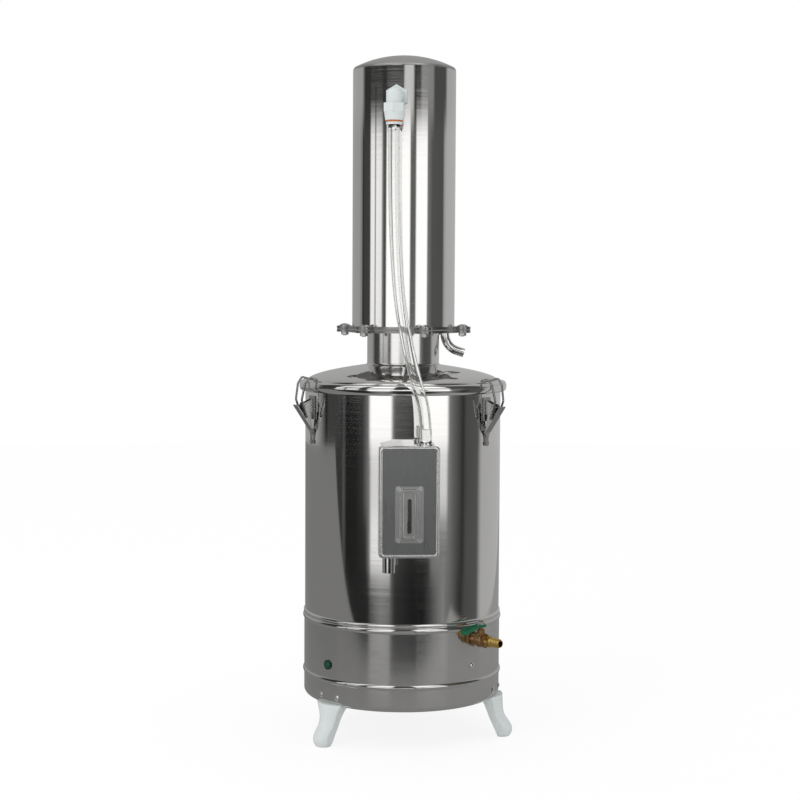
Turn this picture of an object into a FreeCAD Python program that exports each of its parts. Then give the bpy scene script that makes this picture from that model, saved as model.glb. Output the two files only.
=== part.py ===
"""Electric water distiller in stainless steel, with a heated pot, a latched lid and a column condenser.

The frame has +Z up, its origin on the pot's axis at the floor, and the level box at the front, on -Y.
Angles round the axis are counted from the front towards +X, in degrees. Lengths are millimetres.
"""

import FreeCAD, Part
import math
import os
import Sketcher
from FreeCAD import Placement, Rotation, Vector

OUTPUT_FOLDER = "parts"
LEFT, RIGHT = 1, -1

SIZES = {
    # Shared sheet metal, clearances and cuts
    "sheet_wall": 1.2,
    "seat_gap": 0.2,
    "run_gap": 0.3,
    "overrun": 2.0,
    "bead_height": 6.4,
    "bead_bulge": 1.5,
    # Base drum and what closes it
    "barrel_radius": 120.7,
    "base_lift": 47.7,
    "base_step": 0.9,
    "base_height": 100.8,
    "base_corner": 6.0,
    "base_lip": 12.0,
    "base_bead_rise": 26.8,
    "bottom_plate_margin": 5.0,
    # Pot barrel and its floor
    "pot_height": 279.8,
    "pot_bead_rise": 0.3,
    "pot_bead_height": 4.8,
    "pot_floor_rise": 8.0,
    "pot_floor_wall": 1.5,
    "pot_floor_rim": 12.0,
    # Lid, rim bead and neck
    "lid_skirt_drop": 4.5,
    "lid_bead_radius": 6.2,
    "lid_bead_gap": 1.3,
    "lid_shoulder_inset": 10.0,
    "lid_shoulder_rise": 5.6,
    "lid_crown_rise": 13.5,
    "lid_land": 3.8,
    "rim_gasket_width": 3.5,
    "rim_gasket_height": 6.4,
    "neck_radius": 44.5,
    "neck_height": 40.0,
    "neck_tail": 3.0,
    "neck_flare": 3.0,
    # Bolted flanges between the neck and the condenser
    "flange_margin": 5.85,
    "flange_wall": 3.0,
    "ear_place_out": 4.8,
    "ear_radius": 10.0,
    "ear_count": 6,
    "first_ear_angle": -42.8,
    "flange_gasket_wall": 1.5,
    "flange_gasket_inset": 0.3,
    "bolt_radius": 2.5,
    "bolt_head_radius": 6.8,
    "bolt_head_height": 3.0,
    "bolt_head_rim": 0.8,
    "bolt_tail": 1.0,
    "nut_radius": 4.8,
    "nut_height": 3.6,
    # Condenser shell and cap
    "shell_radius": 63.15,
    "shell_height": 311.9,
    "shell_corner": 0.5,
    "shell_rim": 6.0,
    "cap_inset": 0.2,
    "cap_edge_radius": 4.0,
    "cap_sphere_radius": 136.0,
    # Steam and distillate way inside the condenser
    "riser_radius": 20.0,
    "riser_lap": 2.0,
    "header_gap": 6.3,
    "header_height": 20.0,
    "header_drop": 66.0,
    "tube_radius": 5.0,
    "tube_wall": 1.0,
    "tube_count": 8,
    "tube_place_inset": 20.5,
    "collector_inner_radius": 33.0,
    "collector_height": 12.0,
    "outlet_radius": 5.5,
    "outlet_wall": 1.0,
    "outlet_inset": 11.65,
    "outlet_angle": 90.0,
    "outlet_bend_radius": 22.0,
    "outlet_turn_angle": 72.0,
    "outlet_tail": 8.9,
    # Cooling water inlet at the back of the shell
    "inlet_angle": 180.0,
    "inlet_rise": 24.5,
    "inlet_radius": 6.0,
    "inlet_bore": 4.0,
    "inlet_nut_radius": 10.5,
    "inlet_nut_height": 7.0,
    "inlet_reach": 32.0,
    "inlet_barb_bulge": 1.2,
    "inlet_barb_pitch": 5.0,
    "inlet_barb_count": 3,
    # Elbow at the front of the shell
    "elbow_angle": -10.4,
    "elbow_drop": 38.7,
    "elbow_reach": 27.5,
    "elbow_arm_radius": 9.0,
    "elbow_bore": 5.0,
    "elbow_nut_radius": 14.2,
    "elbow_nut_height": 9.0,
    "elbow_collar_radius": 13.3,
    "elbow_collar_drop": 10.0,
    "elbow_collar_height": 10.0,
    "elbow_sleeve_radius": 12.0,
    "elbow_sleeve_end_radius": 10.5,
    "elbow_sleeve_height": 10.0,
    "elbow_core_radius": 8.0,
    "elbow_ring_radius": 9.5,
    "elbow_ring_height": 3.0,
    "clip_ring_radius": 10.0,
    "clip_ring_height": 2.0,
    # Clear hose from the elbow to the level box
    "hose_radius": 7.0,
    "hose_bore": 5.0,
    "bend_share": 0.45,
    # Level box, its fittings and its sight glass
    "box_half_width": 35.2,
    "box_depth": 45.0,
    "box_rise": 90.9,
    "box_height": 129.6,
    "box_corner": 5.0,
    "box_edge": 3.0,
    "nipple_place": 19.6,
    "fitting_depth": 18.0,
    "nipple_flange_radius": 8.5,
    "nipple_flange_height": 1.5,
    "nipple_collar_height": 1.0,
    "nipple_spigot_radius": 4.8,
    "nipple_spigot_height": 16.0,
    "nipple_bore": 3.5,
    "overflow_place": 22.5,
    "overflow_radius": 7.5,
    "overflow_wall": 1.5,
    "overflow_drop": 19.0,
    "overflow_stand": 84.0,
    "overflow_neck_radius": 6.5,
    "sight_rise": 50.8,
    "sight_half_width": 16.5,
    "sight_half_height": 32.75,
    "sight_corner": 3.0,
    "sight_frame_wall": 1.4,
    "sight_block_wall": 4.0,
    "sight_block_edge": 1.0,
    "sight_recess_depth": 1.6,
    "sight_rib_half_width": 10.2,
    "sight_rib_half_height": 29.4,
    "sight_rib_width": 2.6,
    "slot_round_share": 0.98,
    "sight_gasket_wall": 0.8,
    "glass_half_width": 9.0,
    "glass_half_height": 27.0,
    "glass_wall": 1.2,
    "slot_half_width": 2.5,
    "slot_half_height": 20.2,
    "slot_drop": 1.8,
    "sight_screw_across": 12.65,
    "sight_screw_up": 30.0,
    "sight_screw_radius": 1.25,
    "sight_screw_head_radius": 2.5,
    "sight_screw_head_height": 1.4,
    "sight_screw_length": 8.0,
    "level_pipe_radius": 8.0,
    "level_pipe_rise": 14.0,
    "level_pipe_length": 9.0,
    # Feet
    "foot_count": 3,
    "foot_pad_rise": 0.0,
    "foot_pad_back": 5.0,
    "foot_pad_side": 10.2,
    "foot_pad_front": 6.5,
    "foot_pad_half": 9.0,
    "foot_sole_rise": 4.0,
    "foot_sole_back": 3.5,
    "foot_sole_side": 11.2,
    "foot_sole_front": 8.2,
    "foot_sole_half": 10.8,
    "foot_toe_rise": 11.0,
    "foot_toe_back": 0.5,
    "foot_toe_side": 11.2,
    "foot_toe_front": 8.9,
    "foot_toe_half": 11.6,
    "foot_waist_rise": 23.0,
    "foot_waist_back": -5.0,
    "foot_waist_side": 4.2,
    "foot_waist_front": 8.0,
    "foot_waist_half": 12.4,
    "foot_calf_rise": 34.0,
    "foot_calf_back": -9.0,
    "foot_calf_side": 0.8,
    "foot_calf_front": 7.7,
    "foot_calf_half": 13.8,
    "foot_thigh_rise": 44.0,
    "foot_thigh_back": -12.0,
    "foot_thigh_side": 0.2,
    "foot_thigh_front": 7.5,
    "foot_thigh_half": 18.0,
    "foot_brim_rise": 3.0,
    "foot_brim_back": -14.0,
    "foot_brim_side": -0.4,
    "foot_brim_front": 7.6,
    "foot_brim_half": 21.0,
    "first_foot_angle": -49.0,
    "foot_screw_rise": 11.2,
    "foot_screw_angle": 6.7,
    "screw_radius": 2.0,
    "screw_head_radius": 3.6,
    "screw_head_height": 1.6,
    "screw_length": 6.0,
    # Small fittings on the base
    "lamp_angle": -49.4,
    "lamp_rise": 49.5,
    "lamp_radius": 5.8,
    "lamp_bezel_height": 1.6,
    "lamp_lens_radius": 4.2,
    "lamp_lens_rise": 1.8,
    "lamp_body_length": 14.0,
    "base_screw_angle": 41.2,
    "base_screw_rise": 50.0,
    "gland_angle": 180.0,
    "gland_rise": 47.0,
    "gland_radius": 8.0,
    "gland_hex_radius": 13.0,
    "gland_hex_height": 7.0,
    "gland_cap_radius": 11.5,
    "gland_cap_height": 35.0,
    "gland_taper": 8.0,
    "gland_bore": 4.5,
    "gland_nut_height": 5.0,
    "gland_tail": 10.0,
    "terminal_length": 36.0,
    "terminal_width": 18.0,
    "terminal_height": 16.0,
    "terminal_inset": 50.0,
    # Heating elements and drain inside
    "heater_radius": 4.0,
    "heater_rise": 18.0,
    "heater_tail": 14.0,
    "heater_bend_radius": 12.0,
    "heater_length": 150.0,
    "heater_half_gap": 24.0,
    "heater_nut_radius": 9.0,
    "heater_nut_height": 6.0,
    "drain_inset": 24.0,
    "drain_radius": 6.0,
    "drain_wall": 1.0,
    "drain_bend_radius": 12.0,
    # Drain valve
    "valve_angle": 40.5,
    "valve_drop": 16.6,
    "valve_seat_radius": 9.8,
    "valve_seat_length": 4.0,
    "valve_body_radius": 7.25,
    "valve_ball_housing": 8.8,
    "valve_swell_half": 4.6,
    "valve_end_radius": 8.8,
    "valve_stem_out": 16.0,
    "valve_length": 25.0,
    "valve_bore": 4.0,
    "valve_ball_radius": 6.0,
    "valve_boss_radius": 4.7,
    "valve_boss_height": 13.0,
    "stem_radius": 2.5,
    "lever_rise": 16.0,
    "lever_wall": 3.0,
    "lever_hub_radius": 6.5,
    "lever_length": 26.0,
    "lever_root_half_width": 4.0,
    "lever_end_radius": 6.5,
    "lever_neck": 7.0,
    "lever_fall": 4.5,
    "lever_grip_wall": 4.6,
    "lever_round_share": 1.01,
    "lever_nut_radius": 4.6,
    "lever_nut_height": 3.0,
    "stem_tip": 1.0,
    "barb_tail_length": 23.0,
    "barb_root_radius": 6.5,
    "barb_end_radius": 5.3,
    "barb_bulge": 1.0,
    "barb_count": 4,
    "barb_bore": 3.6,
    "barb_plain_share": 0.3,
    "barb_slope_share": 0.35,
    # Lid latches
    "latch_count": 3,
    "first_latch_angle": -67.0,
    "fulcrum_out": 11.0,
    "fulcrum_drop": 21.0,
    "bracket_half_width": 6.8,
    "bracket_wall": 1.7,
    "bracket_up": 12.0,
    "bracket_down": 16.0,
    "ear_inner": 3.4,
    "ear_wall": 1.4,
    "latch_ear_radius": 4.5,
    "ear_half_root": 9.0,
    "pin_radius": 1.5,
    "pin_head_radius": 2.6,
    "pin_head_wall": 0.5,
    "pin_gap": 0.2,
    "cheek_gap": 0.6,
    "cheek_wall": 1.2,
    "lever_tip_out": 12.5,
    "lever_tip_rise": 1.0,
    "lever_heel_in": 7.0,
    "lever_heel_drop": 28.2,
    "cheek_back_in": 4.0,
    "cheek_back_rise": 4.3,
    "cheek_nose_drop": 4.0,
    "cheek_share": 0.62,
    "cheek_nose_out": 4.4,
    "cheek_nose_rise": 1.5,
    "cheek_crest_out": 2.5,
    "tail_out": 1.4,
    "tail_half_width": 2.2,
    "tail_knob_radius": 3.4,
    "tail_taper": 8.0,
    "tail_drop": 46.5,
    "tail_lap": 2.0,
    "bail_pivot_out": 0.5,
    "bail_pivot_drop": 13.0,
    "bail_radius": 1.3,
    "bail_leg_place": 9.0,
    "bail_knee_out": 7.5,
    "bail_knee_rise": 8.0,
    "bail_shoulder_out": 4.0,
    "bail_shoulder_rise": 27.0,
    "bail_shoulder_place": 11.2,
    "bail_top_in": 1.5,
    "bail_top_rise": 34.5,
    "bail_top_place": 12.0,
    "bail_bar_in": 11.5,
    "bail_bar_rise": 31.6,
    "bail_bend_radius": 2.6,
    "bail_foot_bend_radius": 1.82,
}

# Free points of the hose, as shares of the way from its top to its foot in X, Y and Z
HOSE_ROUTE_SHARES = [
    (0.0100, 0.0571, 0.2507),
    (0.0656, 0.2023, 0.4114),
    (0.1824, 0.4158, 0.5675),
    (0.4271, 0.6464, 0.7027),
    (0.6830, 0.8599, 0.8082),
]
HOSE_FIRST_RUN = 42.0
HOSE_LAST_RUN = 33.0

document = FreeCAD.newDocument("WaterDistiller")
nodes = {}


class Size:
    """A number of the sheet, or one worked out from such numbers, with the expression that gives it."""

    def __init__(self, value, text):
        self.value = float(value)
        self.text = text

    def __float__(self):
        return self.value

    def __add__(self, other):
        return joined(self, "+", other, self.value + float(other))

    def __radd__(self, other):
        return joined(other, "+", self, float(other) + self.value)

    def __sub__(self, other):
        return joined(self, "-", other, self.value - float(other))

    def __rsub__(self, other):
        return joined(other, "-", self, float(other) - self.value)

    def __mul__(self, other):
        return joined(self, "*", other, self.value * float(other))

    def __rmul__(self, other):
        return joined(other, "*", self, float(other) * self.value)

    def __truediv__(self, other):
        return joined(self, "/", other, self.value / float(other))

    def __neg__(self):
        return joined(0, "-", self, -self.value)


def text_of(item):
    """The expression of a size or of a plain number."""
    return item.text if isinstance(item, Size) else repr(item)


def joined(first, sign, second, value):
    """The size that two sizes give together."""
    return Size(value, "(%s %s %s)" % (text_of(first), sign, text_of(second)))


def root(size):
    """The square root of a size."""
    return Size(math.sqrt(size.value), "sqrt(%s)" % size.text)


def sine(angle):
    """The sine of an angle in degrees."""
    return Size(math.sin(math.radians(float(angle))), "sin(%s)" % text_of(angle))


def cosine(angle):
    """The cosine of an angle in degrees."""
    return Size(math.cos(math.radians(float(angle))), "cos(%s)" % text_of(angle))


class SheetSizes:
    """The sheet's sizes by name."""

    def __getattr__(self, name):
        return Size(SIZES[name], "Sizes." + name)


d = SheetSizes()


def write_sheet():
    """Put every driving size in the sheet, under its name."""
    sheet = document.addObject("Spreadsheet::Sheet", "Sizes")
    for row, (alias, value) in enumerate(SIZES.items(), start=1):
        sheet.set("A%d" % row, alias)
        sheet.set("B%d" % row, str(value))
        sheet.setAlias("B%d" % row, alias)
    document.recompute()


def bind(item, **sizes):
    """Give an object's properties their sizes, by expression."""
    for name, size in sizes.items():
        setattr(item, name, float(size))
        item.setExpression(name, text_of(size))


def place(item, at=(0, 0, 0), turn=None):
    """Set an object's placement and tie its base to the sheet."""
    item.Placement = Placement(Vector(*[float(value) for value in at]), turn or Rotation())
    for axis, value in zip("xyz", at):
        if isinstance(value, Size):
            item.setExpression("Placement.Base." + axis, value.text)
    return item


def node(label, item):
    """Name a finished sub-part."""
    item.Label = label
    nodes[label] = item
    return item


def outwards(angle):
    """Turn that takes local +X to the given angle round the axis."""
    return Rotation(Vector(0, 0, 1), float(angle) - 90.0)


def along_radius(angle):
    """Turn that takes local +Z to the given angle round the axis."""
    return outwards(angle) * Rotation(Vector(0, 1, 0), 90.0)


def spot(angle, radius, height):
    """Point at an angle, a radius and a height."""
    return (sine(angle) * radius, -(cosine(angle) * radius), height)


def arc_between(start, end, radius, turn):
    """Arc under half a circle from start to end, turning left or right."""
    chord = end.sub(start)
    rise = math.sqrt(max(0.0, radius * radius - chord.Length * chord.Length / 4.0))
    side = Vector(-chord.y, chord.x, 0).normalize() * (rise * turn)
    centre = (start + end) * 0.5 + side
    angles = [math.atan2(point.y - centre.y, point.x - centre.x) for point in (start, end)]
    if turn == RIGHT:
        angles.reverse()
    if angles[1] < angles[0]:
        angles[1] += 2.0 * math.pi
    return Part.ArcOfCircle(Part.Circle(centre, Vector(0, 0, 1), radius), angles[0], angles[1])


def draw_outline(sketch, corners):
    """Closed outline in a sketch: a corner is (x, y) or (x, y, LEFT or RIGHT, radius of the next arc)."""
    points = [Vector(float(corner[0]), float(corner[1]), 0) for corner in corners]
    count = len(corners)
    first = sketch.GeometryCount
    starts = []
    for index, corner in enumerate(corners):
        here, there = points[index], points[(index + 1) % count]
        if len(corner) == 2:
            sketch.addGeometry(Part.LineSegment(here, there))
            starts.append(1)
        else:
            sketch.addGeometry(arc_between(here, there, float(corner[3]), corner[2]))
            starts.append(1 if corner[2] == LEFT else 2)
    for index, corner in enumerate(corners):
        geometry, start = first + index, starts[index]
        following = (index + 1) % count
        link = Sketcher.Constraint("Coincident", geometry, 3 - start, first + following, starts[following])
        sketch.addConstraint(link)
        for kind, value in (("DistanceX", corner[0]), ("DistanceY", corner[1])):
            number = sketch.addConstraint(Sketcher.Constraint(kind, -1, 1, geometry, start, float(value)))
            sketch.setExpression("Constraints[%d]" % number, text_of(value))
        if len(corner) == 4:
            number = sketch.addConstraint(Sketcher.Constraint("Radius", geometry, float(corner[3])))
            sketch.setExpression("Constraints[%d]" % number, text_of(corner[3]))


def sketched_body(plane, outlines):
    """Body with a sketch of the given outlines on one of its origin planes."""
    body = document.addObject("PartDesign::Body", "Body")
    sketch = body.newObject("Sketcher::SketchObject", "Outline")
    support = next(item for item in body.Origin.OriginFeatures if item.Role == plane)
    sketch.AttachmentSupport = [(support, "")]
    sketch.MapMode = "FlatFace"
    for corners in outlines:
        draw_outline(sketch, corners)
    return body, sketch


def turned(*outlines):
    """Body turned about its Z axis from outlines of (radius, height) corners."""
    body, sketch = sketched_body("XZ_Plane", outlines)
    feature = body.newObject("PartDesign::Revolution", "Turned")
    feature.Profile = sketch
    feature.ReferenceAxis = (sketch, ["V_Axis"])
    feature.Angle = 360.0
    body.Tip = feature
    return body


def padded(plane, thickness, *outlines, both_ways=False, edge=None):
    """Body padded from outlines on an origin plane, its far face rounded where an edge radius is given."""
    body, sketch = sketched_body(plane, outlines)
    feature = body.newObject("PartDesign::Pad", "Padded")
    feature.Profile = sketch
    if both_ways:
        feature.SideType = "Symmetric"
    bind(feature, Length=thickness)
    body.Tip = feature
    if edge is not None:
        document.recompute()
        heading = sketch.Placement.Rotation.multVec(Vector(0, 0, 1))
        reach = [face.CenterOfMass.dot(heading) for face in feature.Shape.Faces]
        rounded = body.newObject("PartDesign::Fillet", "Rounded")
        rounded.Base = (feature, ["Face%d" % (reach.index(max(reach)) + 1)])
        bind(rounded, Radius=edge)
        body.Tip = rounded
    return body


def lofted(levels):
    """Solid that runs smoothly through level outlines at rising heights."""
    sketches = []
    for height, corners in levels:
        sketch = document.addObject("Sketcher::SketchObject", "Level")
        draw_outline(sketch, corners)
        sketches.append(place(sketch, (0, 0, height)))
    item = document.addObject("Part::Loft", "Lofted")
    item.Sections = sketches
    item.Solid = True
    return item


def cylinder(radius, height, at=(0, 0, 0), turn=None):
    """Plain cylinder along its own Z."""
    item = document.addObject("Part::Cylinder", "Cylinder")
    bind(item, Radius=radius, Height=height)
    return place(item, at, turn)


def cone(first_radius, last_radius, height, at=(0, 0, 0), turn=None):
    """Plain cone along its own Z."""
    item = document.addObject("Part::Cone", "Cone")
    bind(item, Radius1=first_radius, Radius2=last_radius, Height=height)
    return place(item, at, turn)


def sphere(radius, at=(0, 0, 0)):
    """Plain ball."""
    item = document.addObject("Part::Sphere", "Ball")
    bind(item, Radius=radius)
    return place(item, at)


def hexagon(radius, height, at=(0, 0, 0), turn=None):
    """Six-sided prism along its own Z."""
    item = document.addObject("Part::Prism", "Hexagon")
    item.Polygon = 6
    bind(item, Circumradius=radius, Height=height)
    return place(item, at, turn)


def box(length, width, height, at=(0, 0, 0), turn=None):
    """Plain box from its lowest corner."""
    item = document.addObject("Part::Box", "Box")
    bind(item, Length=length, Width=width, Height=height)
    return place(item, at, turn)


def fuse(*items):
    """One solid from several."""
    if len(items) == 1:
        return items[0]
    item = document.addObject("Part::MultiFuse", "Fused")
    item.Shapes = list(items)
    item.Refine = True
    return item


def cut(base, *tools):
    """A solid less others."""
    item = document.addObject("Part::Cut", "Cut")
    item.Base = base
    item.Tool = fuse(*tools)
    item.Refine = True
    return item


def shared(first, second):
    """What two solids have in common."""
    item = document.addObject("Part::Common", "Shared")
    item.Base = first
    item.Tool = second
    return item


def together(*items):
    """Separate solids that make one sub-part."""
    item = document.addObject("Part::Compound", "Group")
    item.Links = list(items)
    return item


def rounded_path(points, radii):
    """Wire of straight runs joined by tangent arcs of the given radii."""
    edges = []
    last = points[0]
    for index, radius in enumerate(radii, start=1):
        corner = points[index]
        back = points[index - 1].sub(corner).normalize()
        ahead = points[index + 1].sub(corner).normalize()
        half_turn = (math.pi - back.getAngle(ahead)) / 2.0
        reach = radius * math.tan(half_turn)
        start, end = corner + back * reach, corner + ahead * reach
        middle = (back + ahead).normalize() * (radius / math.cos(half_turn) - radius)
        edges.append(Part.LineSegment(last, start).toShape())
        edges.append(Part.Arc(start, corner + middle, end).toShape())
        last = end
    edges.append(Part.LineSegment(last, points[-1]).toShape())
    return Part.Wire(edges)


def swept(path, radius):
    """Round solid of the given radius along a path."""
    start = path.Vertexes[0].Point
    heading = path.Edges[0].tangentAt(path.Edges[0].FirstParameter)
    circle = Part.Wire([Part.Circle(start, heading, float(radius)).toShape()])
    return path.makePipeShell([circle], True, False)


def pipe(points, radii, radius, bore=None):
    """Pipe or rod along rounded runs, as an object of its own."""
    path = rounded_path([Vector(*[float(value) for value in point]) for point in points],
                        [float(value) for value in radii])
    solid = swept(path, radius)
    if bore is not None:
        solid = solid.cut(swept(path, bore))
    item = document.addObject("Part::Feature", "Pipe")
    item.Shape = solid
    return item


def levels():
    """Heights of the main seams, from the floor up."""
    seam = d.base_lift + d.base_height
    rim = seam + d.pot_height
    crease = rim - d.lid_skirt_drop + d.lid_bead_radius * 2
    crown = crease + d.lid_shoulder_rise + d.lid_crown_rise
    lower_flange = crown + d.neck_height
    upper_flange = lower_flange + d.flange_wall + d.flange_gasket_wall
    shell_foot = upper_flange + d.flange_wall
    shell_top = shell_foot + d.shell_height
    return {"seam": seam, "rim": rim, "crease": crease, "crown": crown, "lower_flange": lower_flange,
            "upper_flange": upper_flange, "shell_foot": shell_foot, "shell_top": shell_top}


def dome_arc(half_width, rise):
    """Radius of the arc that rises over a half width."""
    return (half_width * half_width + rise * rise) / (rise * 2)


def bead_arc(height):
    """Radius of a swelled bead in the sheet."""
    return dome_arc(height / 2, d.bead_bulge)


def drum_radius():
    """Radius of the base drum, which stands out from the barrel that it carries."""
    return d.barrel_radius + d.base_step


def build_base(z):
    """Drum that holds the wiring, with its bottom plate."""
    radius, wall, foot, seam = drum_radius(), d.sheet_wall, d.base_lift, z["seam"]
    inside = radius - wall
    land = d.barrel_radius - wall
    bead = foot + d.base_bead_rise
    top_bead = seam - d.pot_bead_rise - d.bead_height
    lip = radius - d.base_lip
    drum = turned([
        (lip, foot),
        (radius - d.base_corner, foot, LEFT, d.base_corner),
        (radius, foot + d.base_corner),
        (radius, bead, LEFT, bead_arc(d.bead_height)),
        (radius, bead + d.bead_height),
        (radius, top_bead, LEFT, bead_arc(d.bead_height)),
        (radius, top_bead + d.bead_height),
        (radius, seam),
        (land, seam),
        (land, seam - wall),
        (inside, seam - wall),
        (inside, foot + d.base_corner, RIGHT, d.base_corner - wall),
        (radius - d.base_corner, foot + wall),
        (lip, foot + wall),
    ])
    holes = [
        cylinder(d.lamp_lens_radius + d.seat_gap, d.base_lip,
                 spot(d.lamp_angle, radius - d.base_lip / 2, foot + d.lamp_rise),
                 along_radius(d.lamp_angle)),
        cylinder(d.gland_radius + d.seat_gap, d.base_lip,
                 spot(d.gland_angle, radius - d.base_lip / 2, foot + d.gland_rise),
                 along_radius(d.gland_angle)),
        cylinder(d.drain_radius + d.seat_gap, d.base_lip,
                 spot(d.valve_angle, radius - d.base_lip / 2, seam - d.valve_drop),
                 along_radius(d.valve_angle)),
        cylinder(d.screw_radius + d.seat_gap, d.base_lip,
                 spot(d.base_screw_angle, radius - d.base_lip / 2, foot + d.base_screw_rise),
                 along_radius(d.base_screw_angle)),
    ]
    for angle in foot_screw_angles():
        holes.append(cylinder(d.screw_radius + d.seat_gap, d.base_lip,
                              spot(angle, radius - d.base_lip / 2, foot + d.foot_screw_rise),
                              along_radius(angle)))
    node("base_drum", cut(drum, *holes))
    plate = cylinder(inside - d.bottom_plate_margin, wall, (0, 0, foot + wall))
    node("base_bottom_plate", plate)


def build_pot(z):
    """Barrel of the pot and the floor that also joins it to the base."""
    radius, wall, seam = d.barrel_radius, d.sheet_wall, z["seam"]
    inside = radius - wall
    bead = seam + d.pot_bead_rise
    barrel = turned([
        (inside, seam),
        (radius, seam),
        (radius, bead, LEFT, bead_arc(d.pot_bead_height)),
        (radius, bead + d.pot_bead_height),
        (radius, z["rim"]),
        (inside, z["rim"]),
    ])
    level_hole = cylinder(d.level_pipe_radius + d.seat_gap, wall * 4 + d.overrun * 2,
                          spot(0, inside - wall * 2, seam + d.box_rise + d.level_pipe_rise), along_radius(0))
    node("pot_barrel", cut(barrel, level_hole))
    floor = seam + d.pot_floor_rise
    rim_out = inside - d.seat_gap
    rim_in = rim_out - d.pot_floor_wall
    dish = turned([
        (0, floor),
        (rim_in, floor),
        (rim_in, floor - d.pot_floor_rim),
        (rim_out, floor - d.pot_floor_rim),
        (rim_out, floor + d.pot_floor_wall),
        (0, floor + d.pot_floor_wall),
    ])
    holes = [cylinder(d.heater_radius + d.seat_gap, d.pot_floor_wall + d.overrun * 2,
                      (x, y, floor - d.overrun)) for x, y in heater_places()]
    holes.append(cylinder(d.drain_radius + d.seat_gap, d.pot_floor_wall + d.overrun * 2,
                          spot(d.valve_angle, radius - d.drain_inset, floor - d.overrun)))
    node("pot_floor", cut(dish, *holes))


def heater_places():
    """Where the ends of the heating elements pass the pot floor."""
    half_length = d.heater_length / 2
    places = []
    for side in (-1, 1):
        for end in (-1, 1):
            places.append((d.heater_half_gap * side, half_length * end))
    return places


def build_heaters(z):
    """Two bridge-shaped heating elements on the pot floor, with their nuts."""
    floor = z["seam"] + d.pot_floor_rise
    top = floor + d.pot_floor_wall
    low, high = floor - d.heater_tail, top + d.heater_nut_height + d.heater_rise
    half_length = d.heater_length / 2
    rods = []
    for side in (-1, 1):
        x = d.heater_half_gap * side
        points = [(x, -half_length, low), (x, -half_length, high),
                  (x, half_length, high), (x, half_length, low)]
        rods.append(pipe(points, [d.heater_bend_radius, d.heater_bend_radius], d.heater_radius))
    node("heating_elements", together(*rods))
    nuts = []
    for x, y in heater_places():
        nut = hexagon(d.heater_nut_radius, d.heater_nut_height, (x, y, top))
        bore = cylinder(d.heater_radius + d.seat_gap, d.heater_nut_height + d.overrun * 2,
                        (x, y, top - d.overrun))
        nuts.append(cut(nut, bore))
    node("heater_nuts", together(*nuts))


def build_lid(z):
    """Spun lid with its rolled rim, the gasket under it and the neck on top."""
    wall, bead = d.sheet_wall, d.lid_bead_radius
    hole = d.neck_radius + d.seat_gap
    rim = d.barrel_radius + d.lid_bead_gap
    crease, crown = z["crease"], z["crown"]
    shoulder = crease + d.lid_shoulder_rise
    shoulder_radius = d.barrel_radius - d.lid_shoulder_inset
    land = hole + d.lid_land
    lid = turned([
        (hole, crown - wall),
        (land, crown - wall),
        (shoulder_radius, shoulder - wall),
        (rim, crease - wall, RIGHT, bead - wall),
        (rim + bead - wall, crease - bead, RIGHT, bead - wall),
        (rim, crease - bead * 2 + wall),
        (rim, crease - bead * 2, LEFT, bead),
        (rim + bead, crease - bead, LEFT, bead),
        (rim, crease),
        (shoulder_radius, shoulder),
        (land, crown),
        (hole, crown),
    ])
    node("lid_dome", lid)
    ring_out = d.barrel_radius + d.lid_bead_gap - d.run_gap
    ring_in = ring_out - d.rim_gasket_width
    node("rim_gasket", turned([
        (ring_in, z["rim"]),
        (ring_out, z["rim"]),
        (ring_out, z["rim"] + d.rim_gasket_height),
        (ring_in, z["rim"] + d.rim_gasket_height),
    ]))
    outer, inner = d.neck_radius, d.neck_radius - wall
    node("lid_neck", turned([
        (inner, crown - d.neck_tail),
        (outer, crown - d.neck_tail),
        (outer, crown),
        (outer + d.neck_flare, crown, RIGHT, d.neck_flare),
        (outer, crown + d.neck_flare),
        (outer, z["lower_flange"]),
        (inner, z["lower_flange"]),
    ]))


def ear_angles():
    """Angles of the flange ears."""
    step = 360.0 / SIZES["ear_count"]
    return [d.first_ear_angle + step * index for index in range(SIZES["ear_count"])]


def flange_radius():
    """Radius of the flange plates without their ears."""
    return d.shell_radius + d.flange_margin


def ear_place_radius():
    """How far from the axis the bolts stand."""
    return flange_radius() + d.ear_place_out


def outlet_place_radius():
    """How far from the axis the distillate pipe comes down."""
    return d.shell_radius - d.outlet_inset


def eared_plate(height, thickness, inset, bore):
    """Plate with bolt ears, a middle bore and a hole for the outlet, its outline drawn in by the inset."""
    low, deep = height - d.overrun, thickness + d.overrun * 2
    parts = [cylinder(flange_radius() - inset, thickness, (0, 0, height))]
    holes = [cylinder(bore, deep, (0, 0, low))]
    for angle in ear_angles():
        parts.append(cylinder(d.ear_radius - inset, thickness, spot(angle, ear_place_radius(), height)))
        holes.append(cylinder(d.bolt_radius + d.seat_gap, deep, spot(angle, ear_place_radius(), low)))
    holes.append(cylinder(d.outlet_radius + d.seat_gap, deep,
                          spot(d.outlet_angle, outlet_place_radius(), low)))
    return cut(fuse(*parts), *holes)


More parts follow.
